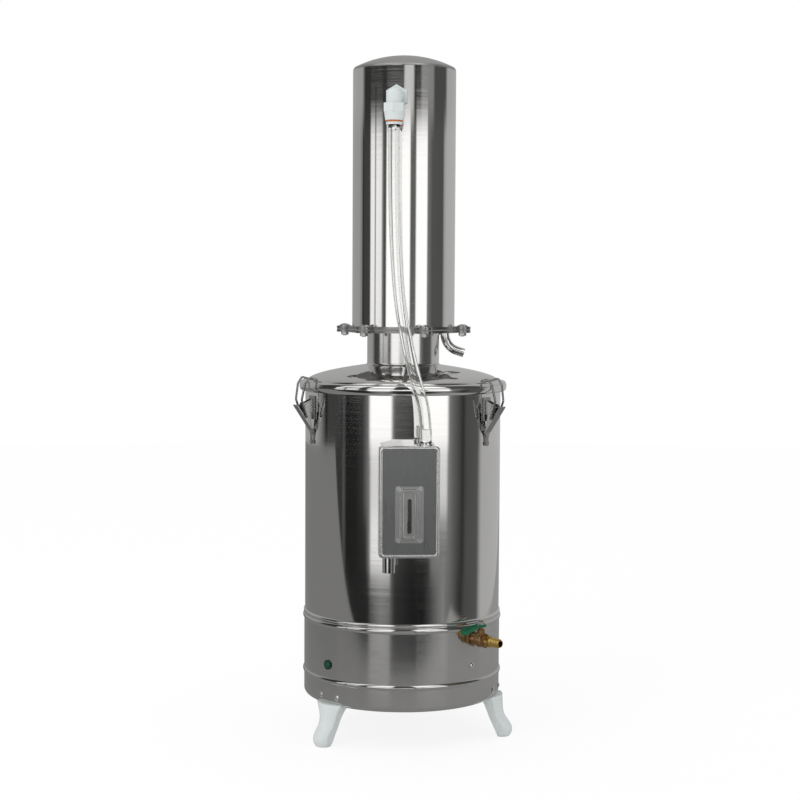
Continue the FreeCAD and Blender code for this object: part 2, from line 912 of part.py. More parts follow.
def build_flanges(z):
    """Two eared plates with a gasket between them, and their bolts and nuts."""
    neck_bore = d.neck_radius - d.sheet_wall
    node("neck_flange", eared_plate(z["lower_flange"], d.flange_wall, 0, neck_bore))
    node("condenser_flange", eared_plate(z["upper_flange"], d.flange_wall, 0, d.riser_radius + d.seat_gap))
    node("flange_gasket", eared_plate(z["lower_flange"] + d.flange_wall, d.flange_gasket_wall,
                                      d.flange_gasket_inset, neck_bore))
    bolts, nuts = [], []
    top = z["shell_foot"]
    nut_foot = z["lower_flange"] - d.nut_height
    for angle in ear_angles():
        rim, out = d.bolt_head_rim, d.bolt_head_radius
        head = place(turned([
            (0, 0),
            (out, 0),
            (out, rim, LEFT, dome_arc(out, d.bolt_head_height - rim)),
            (0, d.bolt_head_height),
        ]), spot(angle, ear_place_radius(), top))
        shank_foot = nut_foot - d.bolt_tail
        shank = cylinder(d.bolt_radius, top - shank_foot, spot(angle, ear_place_radius(), shank_foot))
        bolts.append(fuse(head, shank))
        nut = hexagon(d.nut_radius, d.nut_height, spot(angle, ear_place_radius(), nut_foot), outwards(angle))
        bore = cylinder(d.bolt_radius + d.seat_gap, d.nut_height + d.overrun * 2,
                        spot(angle, ear_place_radius(), nut_foot - d.overrun))
        nuts.append(cut(nut, bore))
    node("flange_bolts", together(*bolts))
    node("flange_nuts", together(*nuts))


def build_condenser(z):
    """Shell and domed cap of the condenser."""
    radius, wall, foot, top = d.shell_radius, d.sheet_wall, z["shell_foot"], z["shell_top"]
    inside = radius - wall
    shell = turned([
        (inside, foot),
        (radius, foot),
        (radius, top - d.shell_corner, LEFT, d.shell_corner),
        (radius - d.shell_corner, top),
        (inside - d.shell_rim, top),
        (inside - d.shell_rim, top - wall),
        (inside, top - wall),
    ])
    deep = wall * 4 + d.overrun * 2
    node("condenser_shell", cut(
        shell,
        cylinder(d.elbow_bore + wall * 2 + d.seat_gap, deep,
                 spot(d.elbow_angle, inside - wall * 2, top - d.elbow_drop), along_radius(d.elbow_angle)),
        cylinder(d.inlet_radius + d.seat_gap, deep,
                 spot(d.inlet_angle, inside - wall * 2, foot + d.inlet_rise), along_radius(d.inlet_angle))))
    ball, edge, out = d.cap_sphere_radius, d.cap_edge_radius, radius - d.cap_inset
    reach = ball - edge
    drop = root(reach * reach - (out - edge) * (out - edge))
    crown = top + ball - drop
    share = ball / reach
    inner_share = (ball - wall) / reach
    node("condenser_cap", turned([
        (out - wall, top),
        (out, top, LEFT, edge),
        ((out - edge) * share, top - drop + drop * share, LEFT, ball),
        (0, crown),
        (0, crown - wall, RIGHT, ball - wall),
        ((out - edge) * inner_share, top - drop + drop * inner_share, RIGHT, edge - wall),
    ]))


def tube_angles():
    """Angles of the condenser tubes."""
    step = 360.0 / SIZES["tube_count"]
    return [step * (index + 0.5) for index in range(SIZES["tube_count"])]


def build_condenser_inside(z):
    """Riser, header, tubes and collector that the cooling water surrounds."""
    foot, wall = z["shell_foot"], d.sheet_wall
    riser_foot, header = z["upper_flange"], z["shell_top"] - d.header_drop
    riser_height = header + d.riser_lap - riser_foot
    header_radius = d.shell_radius - wall - d.header_gap
    tube_place = d.shell_radius - d.tube_place_inset
    node("steam_riser", cut(
        cylinder(d.riser_radius, riser_height, (0, 0, riser_foot)),
        cylinder(d.riser_radius - wall, riser_height + d.overrun * 2, (0, 0, riser_foot - d.overrun))))
    can = cut(cylinder(header_radius, d.header_height, (0, 0, header)),
              cylinder(header_radius - wall, d.header_height - wall * 2, (0, 0, header + wall)))
    holes = [cylinder(d.riser_radius + d.seat_gap, wall + d.overrun, (0, 0, header - d.overrun))]
    for angle in tube_angles():
        holes.append(cylinder(d.tube_radius + d.seat_gap, wall + d.overrun,
                              spot(angle, tube_place, header - d.overrun)))
    node("steam_header", cut(can, *holes))
    ring_out = d.shell_radius - wall - d.run_gap
    top = foot + d.collector_height
    ring = turned([
        (d.collector_inner_radius, foot),
        (d.collector_inner_radius + wall, foot),
        (d.collector_inner_radius + wall, top - wall),
        (ring_out - wall, top - wall),
        (ring_out - wall, foot),
        (ring_out, foot),
        (ring_out, top),
        (d.collector_inner_radius, top),
    ])
    holes = [cylinder(d.tube_radius + d.seat_gap, wall + d.overrun * 2,
                      spot(angle, tube_place, top - wall - d.overrun)) for angle in tube_angles()]
    node("collector_ring", cut(ring, *holes))
    low, high = top - wall, header + wall
    tubes = []
    for angle in tube_angles():
        tube = cylinder(d.tube_radius, high - low, spot(angle, tube_place, low))
        bore = cylinder(d.tube_radius - d.tube_wall, high - low + d.overrun * 2,
                        spot(angle, tube_place, low - d.overrun))
        tubes.append(cut(tube, bore))
    node("condenser_tubes", together(*tubes))


def build_outlet(z):
    """Bent pipe that brings the distillate down and out between the flange ears."""
    start, high = outlet_place_radius(), z["shell_foot"] + d.sheet_wall
    bend, angle = d.outlet_bend_radius, d.outlet_turn_angle
    low = z["lower_flange"] - d.nut_height / 2
    reach = bend * math.tan(math.radians(float(angle)) / 2.0)
    tail = reach + d.outlet_tail
    corner = low - reach
    points = [(start, 0, high), (start, 0, corner),
              (start + tail * sine(angle), 0, corner - tail * cosine(angle))]
    outlet = pipe(points, [bend], d.outlet_radius, d.outlet_radius - d.outlet_wall)
    node("distillate_outlet", place(outlet, (0, 0, 0), outwards(d.outlet_angle)))


def build_inlet(z):
    """Ribbed nipple for the cooling water at the back of the shell."""
    reach, out = d.inlet_reach, d.inlet_radius
    outline = [(d.inlet_bore, -d.sheet_wall), (out, -d.sheet_wall), (out, d.inlet_nut_height)]
    step = d.inlet_barb_pitch
    for index in range(SIZES["inlet_barb_count"]):
        rib = d.inlet_nut_height + step * (index + 1)
        outline.append((out - d.inlet_barb_bulge, rib))
        if index:
            outline.append((out, rib))
    outline += [(out - d.inlet_barb_bulge, reach), (d.inlet_bore, reach)]
    nipple = turned(outline)
    nut = cut(hexagon(d.inlet_nut_radius, d.inlet_nut_height - d.seat_gap, (0, 0, 0)),
              cylinder(out, d.inlet_nut_height + d.overrun, (0, 0, -d.overrun / 2)))
    fitting = fuse(nipple, nut)
    place(fitting, spot(d.inlet_angle, d.shell_radius, z["shell_foot"] + d.inlet_rise),
          along_radius(d.inlet_angle))
    seat = cut(fitting, cylinder(d.shell_radius + d.seat_gap / 2, d.inlet_nut_radius * 4,
                                 (0, 0, z["shell_foot"] + d.inlet_rise - d.inlet_nut_radius * 2)))
    node("water_inlet", seat)


def build_elbow(z):
    """Plastic elbow that hands the warm water to the hose, with its nut and clip ring."""
    height = z["shell_top"] - d.elbow_drop
    start, axis = d.shell_radius, d.shell_radius + d.elbow_reach
    collar = height - d.elbow_collar_drop - d.elbow_collar_height
    sleeve = collar - d.elbow_sleeve_height
    clip = sleeve - d.clip_ring_height
    end = clip - d.elbow_ring_height
    level = Rotation(Vector(0, 1, 0), 90.0)
    spigot = d.elbow_bore + d.sheet_wall * 2
    body = fuse(
        cylinder(spigot, d.elbow_nut_height + d.sheet_wall * 4,
                 (start - d.sheet_wall * 2, 0, height), level),
        cylinder(d.elbow_arm_radius, d.elbow_reach - d.elbow_nut_height - d.seat_gap,
                 (start + d.elbow_nut_height + d.seat_gap, 0, height), level),
        sphere(d.elbow_arm_radius, (axis, 0, height)),
        cylinder(d.elbow_arm_radius, height - collar, (axis, 0, collar)),
        hexagon(d.elbow_collar_radius, d.elbow_collar_height, (axis, 0, collar)),
        cone(d.elbow_sleeve_end_radius, d.elbow_sleeve_radius, d.elbow_sleeve_height, (axis, 0, sleeve)),
        cylinder(d.elbow_core_radius, sleeve - end, (axis, 0, end)),
        cylinder(d.elbow_ring_radius, d.elbow_ring_height, (axis, 0, end)))
    bored = cut(
        body,
        cylinder(d.elbow_bore, d.elbow_reach + d.sheet_wall * 2 + d.overrun,
                 (start - d.sheet_wall * 2 - d.overrun, 0, height), level),
        sphere(d.elbow_bore, (axis, 0, height)),
        cylinder(d.elbow_bore, height - end + d.overrun, (axis, 0, end - d.overrun)))
    node("elbow_fitting", place(bored, (0, 0, 0), outwards(d.elbow_angle)))
    nut = cut(hexagon(d.elbow_nut_radius, d.elbow_nut_height, (start, 0, height), level),
              cylinder(spigot + d.seat_gap, d.elbow_nut_height + d.overrun * 2,
                       (start - d.overrun, 0, height), level),
              cylinder(start + d.seat_gap / 2, d.elbow_nut_radius * 4,
                       (0, 0, height - d.elbow_nut_radius * 2)))
    node("elbow_nut", place(nut, (0, 0, 0), outwards(d.elbow_angle)))
    ring = cut(cylinder(d.clip_ring_radius, d.clip_ring_height, (axis, 0, clip)),
               cylinder(d.elbow_core_radius + d.seat_gap, d.clip_ring_height + d.overrun * 2,
                        (axis, 0, clip - d.overrun)))
    node("elbow_clip_ring", place(ring, (0, 0, 0), outwards(d.elbow_angle)))
    return spot(d.elbow_angle, axis, end)


def build_hose(top, foot):
    """Clear hose from the elbow's end ring to the collar of the box nipple."""
    start = Vector(*[float(value) for value in top])
    end = Vector(*[float(value) for value in foot])
    points = [start, start - Vector(0, 0, HOSE_FIRST_RUN)]
    way = end - start
    points += [start + Vector(way.x * across, way.y * out, way.z * down)
               for across, out, down in HOSE_ROUTE_SHARES]
    points += [end + Vector(0, 0, HOSE_LAST_RUN), end]
    radii = []
    for before, here, after in zip(points, points[1:], points[2:]):
        shorter = min((here - before).Length, (after - here).Length)
        half_turn = (here - before).getAngle(after - here) / 2.0
        radii.append(SIZES["bend_share"] * shorter / math.tan(half_turn))
    hose = pipe(points, radii, d.hose_radius, d.hose_bore)
    length = rounded_path(points, radii).Length
    section = math.pi * (SIZES["hose_radius"] ** 2 - SIZES["hose_bore"] ** 2)
    print("hose bends (mm):", ", ".join("%.0f" % radius for radius in radii))
    print("hose length %.1f mm, volume over section times length %.4f"
          % (length, hose.Shape.Volume / (section * length)))
    node("water_hose", hose)


def build_box(z):
    """Level box on the front of the barrel, with its nipple, overflow and link to the pot."""
    half, front, wall = d.box_half_width, d.barrel_radius + d.box_depth, d.sheet_wall
    foot = z["seam"] + d.box_rise
    top = foot + d.box_height
    back = d.barrel_radius - d.box_half_width / 2
    corner = d.box_corner

    def tray(inset):
        side, low, high = half - inset, foot + inset, top - inset
        round_in = corner - inset
        body = padded("XZ_Plane", front - back, [
            (-(side - round_in), low),
            (side - round_in, low, LEFT, round_in),
            (side, low + round_in),
            (side, high - round_in, LEFT, round_in),
            (side - round_in, high),
            (-(side - round_in), high, LEFT, round_in),
            (-side, high - round_in),
            (-side, low + round_in, LEFT, round_in),
        ], edge=d.box_edge - inset)
        return place(body, (0, inset - back, 0))

    fitting_y = -(front - d.fitting_depth)
    sight = foot + d.sight_rise
    slot_foot = sight - d.slot_drop - d.slot_half_height
    level = along_radius(0)
    cuts = [
        tray(wall),
        cylinder(d.barrel_radius + d.seat_gap, d.box_height + d.overrun * 2, (0, 0, foot - d.overrun)),
        cylinder(d.nipple_bore + wall + d.seat_gap, wall * 2 + d.overrun,
                 (d.nipple_place, fitting_y, top - wall * 2)),
        cylinder(d.overflow_neck_radius + d.seat_gap, wall * 2 + d.overrun,
                 (-d.overflow_place, fitting_y, foot - d.overrun)),
        box(d.slot_half_width * 4, wall * 2 + d.overrun, d.slot_half_height * 2,
            (-(d.slot_half_width * 2), -(front + d.overrun), slot_foot)),
    ]
    for x, height in sight_screw_places(sight):
        cuts.append(cylinder(d.sight_screw_radius + d.seat_gap, wall * 2 + d.overrun,
                             (x, -(front - wall * 2), height), level))
    node("level_box", cut(tray(0), *cuts))
    collar = top + d.nipple_flange_height + d.nipple_collar_height
    node("hose_nipple", place(turned([
        (d.nipple_bore, -(wall * 3)),
        (d.nipple_bore + wall, -(wall * 3)),
        (d.nipple_bore + wall, 0),
        (d.nipple_flange_radius, 0),
        (d.nipple_flange_radius, d.nipple_flange_height),
        (d.hose_radius, d.nipple_flange_height),
        (d.hose_radius, d.nipple_flange_height + d.nipple_collar_height),
        (d.nipple_spigot_radius, d.nipple_flange_height + d.nipple_collar_height),
        (d.nipple_spigot_radius, d.nipple_flange_height + d.nipple_spigot_height),
        (d.nipple_bore, d.nipple_flange_height + d.nipple_spigot_height),
    ]), (d.nipple_place, fitting_y, top)))
    neck, tail = d.overflow_neck_radius, d.overflow_radius
    node("overflow_pipe", place(turned([
        (tail - d.overflow_wall, -d.overflow_drop),
        (tail, -d.overflow_drop),
        (tail, 0),
        (neck, 0),
        (neck, d.overflow_stand),
        (neck - d.overflow_wall, d.overflow_stand),
        (neck - d.overflow_wall, -d.overflow_wall),
        (tail - d.overflow_wall, -(d.overflow_wall * 2)),
    ]), (-d.overflow_place, fitting_y, foot)))
    link = foot + d.level_pipe_rise
    inner = d.barrel_radius - wall - d.overrun
    node("level_pipe", cut(
        cylinder(d.level_pipe_radius, d.level_pipe_length, spot(0, inner, link), level),
        cylinder(d.level_pipe_radius - wall, d.level_pipe_length + d.overrun * 2,
                 spot(0, inner - d.overrun, link), level)))
    return (d.nipple_place, fitting_y, collar)


def sight_screw_places(sight):
    """Where the four screws of the sight frame stand, across and up."""
    return [(d.sight_screw_across * side, sight + d.sight_screw_up * end)
            for side in (-1, 1) for end in (-1, 1)]


def upright_plate(half_width, half_height, corner, thickness, middle, face, edge=None):
    """Upright plate with round corners whose back lies at the given distance in front of the axis."""
    wide, tall = half_width, half_height
    body = padded("XY_Plane", thickness, [
        (-(wide - corner), -tall),
        (wide - corner, -tall, LEFT, corner),
        (wide, -(tall - corner)),
        (wide, tall - corner, LEFT, corner),
        (wide - corner, tall),
        (-(wide - corner), tall, LEFT, corner),
        (-wide, tall - corner),
        (-wide, -(tall - corner), LEFT, corner),
    ], edge=edge)
    return place(body, (0, -face, middle), Rotation(Vector(1, 0, 0), 90.0))


def build_sight(z):
    """Sight glass of the level box: gasket, glass, framed cover and four screws."""
    middle = z["seam"] + d.box_rise + d.sight_rise
    face = d.barrel_radius + d.box_depth
    cover = face + d.sight_gasket_wall
    flange_face, front = cover + d.sight_frame_wall, cover + d.sight_block_wall
    slot_middle = middle - d.slot_drop
    wide, tall, corner = d.sight_half_width, d.sight_half_height, d.sight_corner
    level = along_radius(0)

    def bores(low, depth):
        return [cylinder(d.sight_screw_radius + d.seat_gap, depth, (x, -low, height), level)
                for x, height in sight_screw_places(middle)]

    def slot(low, depth, half_width, half_height):
        return box(half_width * 2, depth, half_height * 2,
                   (-half_width, -(low + depth), slot_middle - half_height))

    node("sight_gasket", cut(
        upright_plate(wide, tall, corner, d.sight_gasket_wall, middle, face),
        slot(face - d.overrun, d.sight_gasket_wall + d.overrun * 2,
             d.slot_half_width * 2, d.slot_half_height),
        *bores(face - d.overrun, d.sight_gasket_wall + d.overrun * 2)))
    node("sight_glass", upright_plate(d.glass_half_width, d.glass_half_height, corner,
                                      d.glass_wall, middle, cover))
    rib = cut(
        upright_plate(d.sight_rib_half_width, d.sight_rib_half_height, corner,
                      d.sight_block_wall, middle, cover, d.sight_block_edge),
        upright_plate(d.sight_rib_half_width - d.sight_rib_width,
                      d.sight_rib_half_height - d.sight_rib_width, corner - d.sight_block_edge, d.sight_recess_depth * 2, middle,
                      front - d.sight_recess_depth))
    cover_plate = fuse(upright_plate(wide, tall, corner, d.sight_frame_wall, middle, cover), rib)
    node("sight_frame", cut(
        cover_plate,
        upright_plate(d.glass_half_width + d.seat_gap, d.glass_half_height + d.seat_gap, corner,
                      d.glass_wall, middle, cover),
        upright_plate(d.slot_half_width, d.slot_half_height, d.slot_half_width * d.slot_round_share,
                      d.sight_block_wall * 2, slot_middle, cover),
        *bores(cover - d.overrun, d.sight_frame_wall + d.overrun * 2)))
    screws = []
    for x, height in sight_screw_places(middle):
        head = cylinder(d.sight_screw_head_radius, d.sight_screw_head_height,
                        (x, -flange_face, height), level)
        shank = cylinder(d.sight_screw_radius, d.sight_screw_length,
                         (x, -(flange_face - d.sight_screw_length), height), level)
        screws.append(fuse(head, shank))
    node("sight_screws", together(*screws))


def foot_angles():
    """Angles of the feet."""
    step = 360.0 / SIZES["foot_count"]
    return [SIZES["first_foot_angle"] + step * index for index in range(SIZES["foot_count"])]


def foot_screw_angles():
    """Angles of the screws that hold the feet, two for each foot."""
    return [angle + SIZES["foot_screw_angle"] * side for angle in foot_angles() for side in (-1, 1)]


def build_feet(z):
    """Three moulded feet that hug the drum's lower edge, with the screws above them."""
    edge, corner = drum_radius() + d.seat_gap, d.base_corner
    seat, brim = d.base_lift, d.base_lift + d.foot_brim_rise
    levels = []
    for name in ("pad", "sole", "toe", "waist", "calf", "thigh", "brim"):
        height, back, side, front, half = [getattr(d, "foot_%s_%s" % (name, part))
                                           for part in ("rise", "back", "side", "front", "half")]
        at_back, at_side = drum_radius() + back, drum_radius() + side
        levels.append((brim if name == "brim" else height, [
            (at_back, -half),
            (at_side, -half, LEFT, dome_arc(half, front)),
            (at_side, half),
            (at_back, half),
        ]))
    for name, angle in zip(("foot_left", "foot_right", "foot_rear"), foot_angles()):
        drum = turned([
            (0, seat),
            (edge - corner, seat, LEFT, corner),
            (edge, seat + corner),
            (edge, brim + d.overrun),
            (0, brim + d.overrun),
        ])
        node(name, place(cut(lofted(levels), drum), (0, 0, 0), outwards(angle)))
    screws = [wall_screw(angle, d.base_lift + d.foot_screw_rise) for angle in foot_screw_angles()]
    node("foot_screws", together(*screws))


def wall_screw(angle, height):
    """Round-headed screw in the drum's wall."""
    head = turned([
        (0, -d.screw_length),
        (d.screw_radius, -d.screw_length),
        (d.screw_radius, d.seat_gap),
        (d.screw_head_radius, d.seat_gap, LEFT, dome_arc(d.screw_head_radius, d.screw_head_height)),
        (0, d.screw_head_height + d.seat_gap),
    ])
    return place(head, spot(angle, drum_radius(), height), along_radius(angle))


def build_base_fittings(z):
    """Lamp, single screw, cable gland and terminal block of the base."""
    edge, foot = drum_radius(), d.base_lift
    lamp = spot(d.lamp_angle, edge, foot + d.lamp_rise)
    turn = along_radius(d.lamp_angle)
    node("lamp_bezel", place(turned([
        (d.lamp_lens_radius + d.seat_gap, d.seat_gap),
        (d.lamp_radius, d.seat_gap),
        (d.lamp_radius, d.lamp_bezel_height),
        (d.lamp_lens_radius + d.seat_gap, d.lamp_bezel_height + d.seat_gap),
    ]), lamp, turn))
    node("lamp_lens", place(turned([
        (0, -d.lamp_body_length),
        (d.lamp_lens_radius, -d.lamp_body_length),
        (d.lamp_lens_radius, d.lamp_bezel_height, LEFT, dome_arc(d.lamp_lens_radius, d.lamp_lens_rise)),
        (0, d.lamp_bezel_height + d.lamp_lens_rise),
    ]), lamp, turn))
    node("base_screw", wall_screw(d.base_screw_angle, foot + d.base_screw_rise))
    gland = spot(d.gland_angle, edge, foot + d.gland_rise)
    turn = along_radius(d.gland_angle)
    hex_end = d.gland_hex_height
    cap_end = hex_end + d.gland_cap_height
    body = turned([
        (d.gland_bore, -d.gland_tail),
        (d.gland_radius, -d.gland_tail),
        (d.gland_radius, d.run_gap),
        (d.gland_cap_radius, d.run_gap),
        (d.gland_cap_radius, cap_end - d.gland_taper),
        (d.gland_radius, cap_end),
        (d.gland_bore, cap_end),
    ])
    collar = cut(hexagon(d.gland_hex_radius, hex_end, (0, 0, d.run_gap)),
                 cylinder(d.gland_radius, hex_end + d.overrun * 2, (0, 0, -d.overrun)))
    node("cable_gland", place(fuse(body, collar), gland, turn))
    inside = edge - d.sheet_wall
    flat = root(inside * inside - d.gland_hex_radius * d.gland_hex_radius)
    nut_out = edge - flat + d.seat_gap + d.gland_nut_height
    node("gland_nut", place(cut(hexagon(d.gland_hex_radius, d.gland_nut_height, (0, 0, -nut_out)),
                                cylinder(d.gland_radius + d.seat_gap, d.gland_nut_height + d.overrun * 2,
                                         (0, 0, -nut_out - d.overrun))), gland, turn))
    node("terminal_block", box(d.terminal_length, d.terminal_width, d.terminal_height,
                               (-(d.terminal_length / 2), edge - d.terminal_inset, foot + d.sheet_wall * 2)))


def build_drain(z):
    """Pipe from the pot floor to the valve."""
    high = z["seam"] + d.pot_floor_rise + d.pot_floor_wall
    level = z["seam"] - d.valve_drop
    out = drum_radius() + d.valve_seat_length / 2
    inner = d.barrel_radius - d.drain_inset
    points = [(inner, 0, high), (inner, 0, level), (out, 0, level)]
    drain = pipe(points, [d.drain_bend_radius], d.drain_radius, d.drain_radius - d.drain_wall)
    node("drain_pipe", place(drain, (0, 0, 0), outwards(d.valve_angle)))


def build_valve(z):
    """Ball valve low on the right: body, barbed tail, ball, stem, lever and nut."""
    level = z["seam"] - d.valve_drop
    start = drum_radius()
    stem = start + d.valve_stem_out
    end = start + d.valve_length
    flat = Rotation(Vector(0, 1, 0), 90.0)
    turn = outwards(d.valve_angle)
    seat_end = start + d.valve_seat_length
    swell = stem - seat_end
    boss_top = level + d.valve_boss_height
    lever_foot = level + d.lever_rise
    solid = fuse(
        hexagon(d.valve_seat_radius, d.valve_seat_length + d.sheet_wall,
                (start - d.sheet_wall, 0, level), flat),
        place(turned([
            (0, 0),
            (d.valve_body_radius, 0),
            (d.valve_body_radius, swell - d.valve_swell_half, LEFT,
             dome_arc(d.valve_swell_half, d.valve_ball_housing - d.valve_body_radius)),
            (d.valve_body_radius, swell + d.valve_swell_half),
            (d.valve_body_radius, end - seat_end),
            (0, end - seat_end),
        ]), (seat_end, 0, level), flat),
        hexagon(d.valve_end_radius, d.valve_seat_length, (end - d.valve_seat_length, 0, level), flat),
        cylinder(d.valve_boss_radius, d.valve_boss_height, (stem, 0, level)))
    body = cut(
        solid,
        cylinder(start + d.seat_gap / 2, d.valve_seat_radius * 4, (0, 0, level - d.valve_seat_radius * 2)),
        cylinder(d.drain_radius + d.seat_gap, d.valve_seat_length + d.overrun,
                 (start - d.overrun, 0, level), flat),
        cylinder(d.valve_bore, end - start + d.overrun * 2, (start - d.overrun, 0, level), flat),
        sphere(d.valve_ball_radius + d.run_gap, (stem, 0, level)),
        cylinder(d.stem_radius + d.run_gap, d.valve_boss_height + d.overrun, (stem, 0, level)))
    node("valve_body", place(body, (0, 0, 0), turn))
    ball = cut(sphere(d.valve_ball_radius, (stem, 0, level)),
               cylinder(d.valve_bore, d.valve_ball_radius * 2 + d.overrun * 2,
                        (stem, -(d.valve_ball_radius + d.overrun), level), Rotation(Vector(1, 0, 0), -90.0)),
               box(d.stem_radius * 4, d.stem_radius * 4, d.valve_ball_radius,
                   (stem - d.stem_radius * 2, -(d.stem_radius * 2),
                    level + d.valve_ball_radius - d.overrun / 2)))
    node("valve_ball", place(ball, (0, 0, 0), turn))
    stem_foot = level + d.valve_ball_radius - d.overrun / 2
    nut_foot = lever_foot + d.lever_wall
    stem_top = nut_foot + d.lever_nut_height + d.stem_tip
    node("valve_stem", place(cylinder(d.stem_radius, stem_top - stem_foot),
                             spot(d.valve_angle, stem, stem_foot), turn))
    hub = cylinder(d.lever_hub_radius, d.lever_wall, (0, 0, 0))
    neck, tip = d.lever_neck, d.lever_length + d.lever_end_radius
    fall = d.lever_fall + d.lever_grip_wall
    plan = place(padded("XY_Plane", fall + d.lever_wall, [
        (-d.lever_end_radius, -d.lever_length, LEFT, d.lever_end_radius * d.lever_round_share),
        (d.lever_end_radius, -d.lever_length),
        (d.lever_root_half_width, -neck),
        (-d.lever_root_half_width, -neck),
    ]), (0, 0, -fall))
    side = padded("YZ_Plane", d.lever_end_radius * 2 + d.overrun, [
        (-tip, d.lever_wall - fall),
        (-neck, 0),
        (-neck, d.lever_wall),
        (-tip, d.lever_wall - d.lever_fall),
    ], both_ways=True)
    root_box = box(d.lever_root_half_width * 2, neck, d.lever_wall, (-d.lever_root_half_width, -neck, 0))
    eye = cylinder(d.stem_radius + d.seat_gap, d.lever_wall + d.overrun * 2, (0, 0, -d.overrun))
    lever = cut(fuse(hub, root_box, shared(plan, side)), eye)
    node("valve_lever", place(lever, spot(d.valve_angle, stem, lever_foot), turn))
    nut = cut(hexagon(d.lever_nut_radius, d.lever_nut_height),
              cylinder(d.stem_radius + d.seat_gap, d.lever_nut_height + d.overrun * 2, (0, 0, -d.overrun)))
    node("lever_nut", place(nut, spot(d.valve_angle, stem, nut_foot), turn))
    build_barb(end, level)


def build_barb(start, level):
    """Ribbed brass tail that the drain hose would slip on."""
    length, root_out, tip_out = d.barb_tail_length, d.barb_root_radius, d.barb_end_radius
    count = SIZES["barb_count"]
    first = length * d.barb_plain_share
    step = (length - first) / count
    slope = (root_out - tip_out) / length
    outline = [(d.barb_bore, 0), (root_out, 0), (root_out, first)]
    for index in range(count):
        low = first + step * index
        outline.append((root_out - slope * low - d.barb_bulge, low))
        outline.append((root_out - slope * low, low + step * d.barb_slope_share))
    outline += [(tip_out - d.barb_bulge, length), (d.barb_bore, length)]
    node("hose_barb", place(turned(outline), spot(d.valve_angle, start, level), along_radius(d.valve_angle)))


def latch_angles():
    """Angles of the lid latches."""
    step = 360.0 / SIZES["latch_count"]
    return [SIZES["first_latch_angle"] + step * index for index in range(SIZES["latch_count"])]


